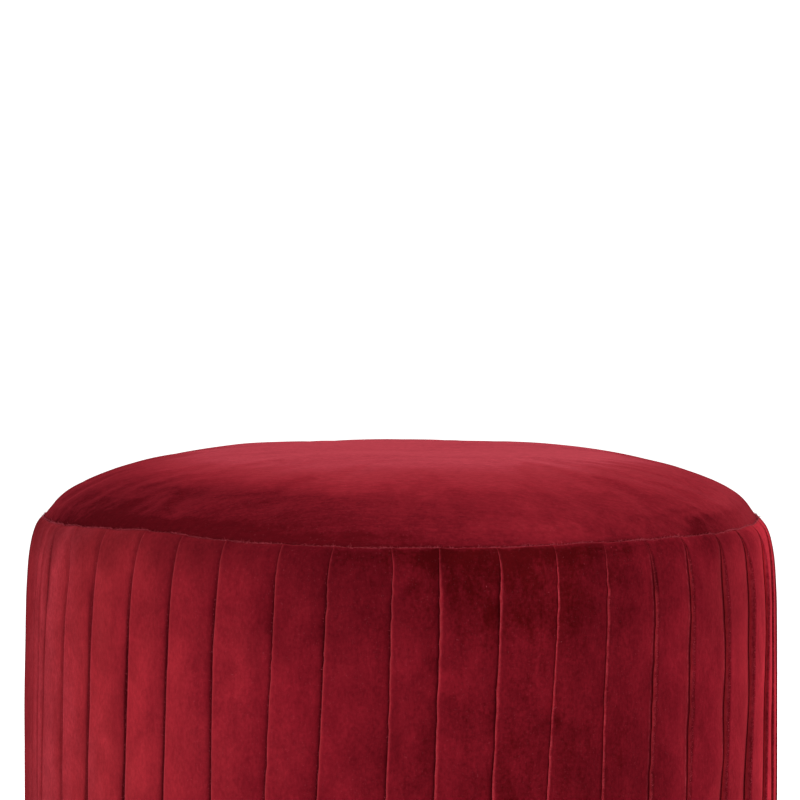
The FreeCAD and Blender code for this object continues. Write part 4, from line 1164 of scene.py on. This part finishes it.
def build_floor():
    mesh = bpy.data.meshes.new("floor")
    corners = ((-1, -1), (1, -1), (1, 1), (-1, 1))
    mesh.from_pydata([(x * FLOOR_HALF, y * FLOOR_HALF, FLOOR_Z) for x, y in corners],
                     [], [(0, 1, 2, 3)])
    floor = add_object("floor", mesh)
    floor.data.materials.append(floor_material())


def build_world():
    """White world, bright to the camera and faint as a light."""
    world = bpy.data.worlds.new("studio")
    bpy.context.scene.world = world
    graph = Graph(world)
    to_camera = graph.node("ShaderNodeLightPath").outputs["Is Camera Ray"]
    fill, seen = (graph.node("ShaderNodeBackground", {"Color": (1, 1, 1), "Strength": strength})
                  for strength in (0.02, 1.25))
    mixed = graph.node("ShaderNodeMixShader", {0: to_camera, 1: fill.outputs[0],
                                               2: seen.outputs[0]})
    graph.surface(mixed.outputs[0], "ShaderNodeOutputWorld")


LIGHT_AIM = Vector((0, 0, 0.35))
LIGHT_DISTANCE, LIGHT_SIZE = 2.6, 1.3
RING_POWER = 7.4
# soft boxes round the stool: name, angle from the front, elevation, watts
LIGHTS = [("ring_%d" % n, azimuth, 45, RING_POWER)
          for n, azimuth in enumerate((-120, -90, -60, 60, 90, 120))]
LIGHTS += [("ring_back", 180, 30, RING_POWER), ("overhead", 0, 88, 19.7), ("front", 0, 12, 25.5),
           ("front_right", 30, 12, 16.6), ("high_right", 50, 75, 3.1)]


def soft_box(name, azimuth, elevation, power):
    az, el = math.radians(azimuth), math.radians(elevation)
    place = LIGHT_AIM + LIGHT_DISTANCE * Vector(
        (math.sin(az) * math.cos(el), -math.cos(az) * math.cos(el), math.sin(el)))
    light = bpy.data.lights.new(name, "AREA")
    light.shape = "RECTANGLE"
    light.size = light.size_y = LIGHT_SIZE
    light.energy = power
    ob = add_object(name, light)
    ob.location = place
    ob.rotation_euler = (LIGHT_AIM - place).to_track_quat("-Z", "Y").to_euler()
    ob.visible_camera = False


CAMERA_Z, CAMERA_DISTANCE = 589.0, 1992.33       # millimetres
CAMERA_PITCH = 3.26                    # degrees below level
CAMERA_LENS, SENSOR_WIDTH = 168.26, 36


def build_camera():
    data = bpy.data.cameras.new("camera")
    camera = add_object("camera", data)
    data.sensor_width = SENSOR_WIDTH
    data.lens = CAMERA_LENS
    camera.location = (0, -CAMERA_DISTANCE * MM, CAMERA_Z * MM)
    camera.rotation_euler = (math.pi / 2 - math.radians(CAMERA_PITCH), 0, 0)
    data.clip_start, data.clip_end = 0.05, 60
    bpy.context.scene.camera = camera


build_floor()
build_world()
for light in LIGHTS:
    soft_box(*light)
build_camera()
bpy.context.scene.view_settings.view_transform = "Standard"
bpy.context.scene.view_settings.look = "None"
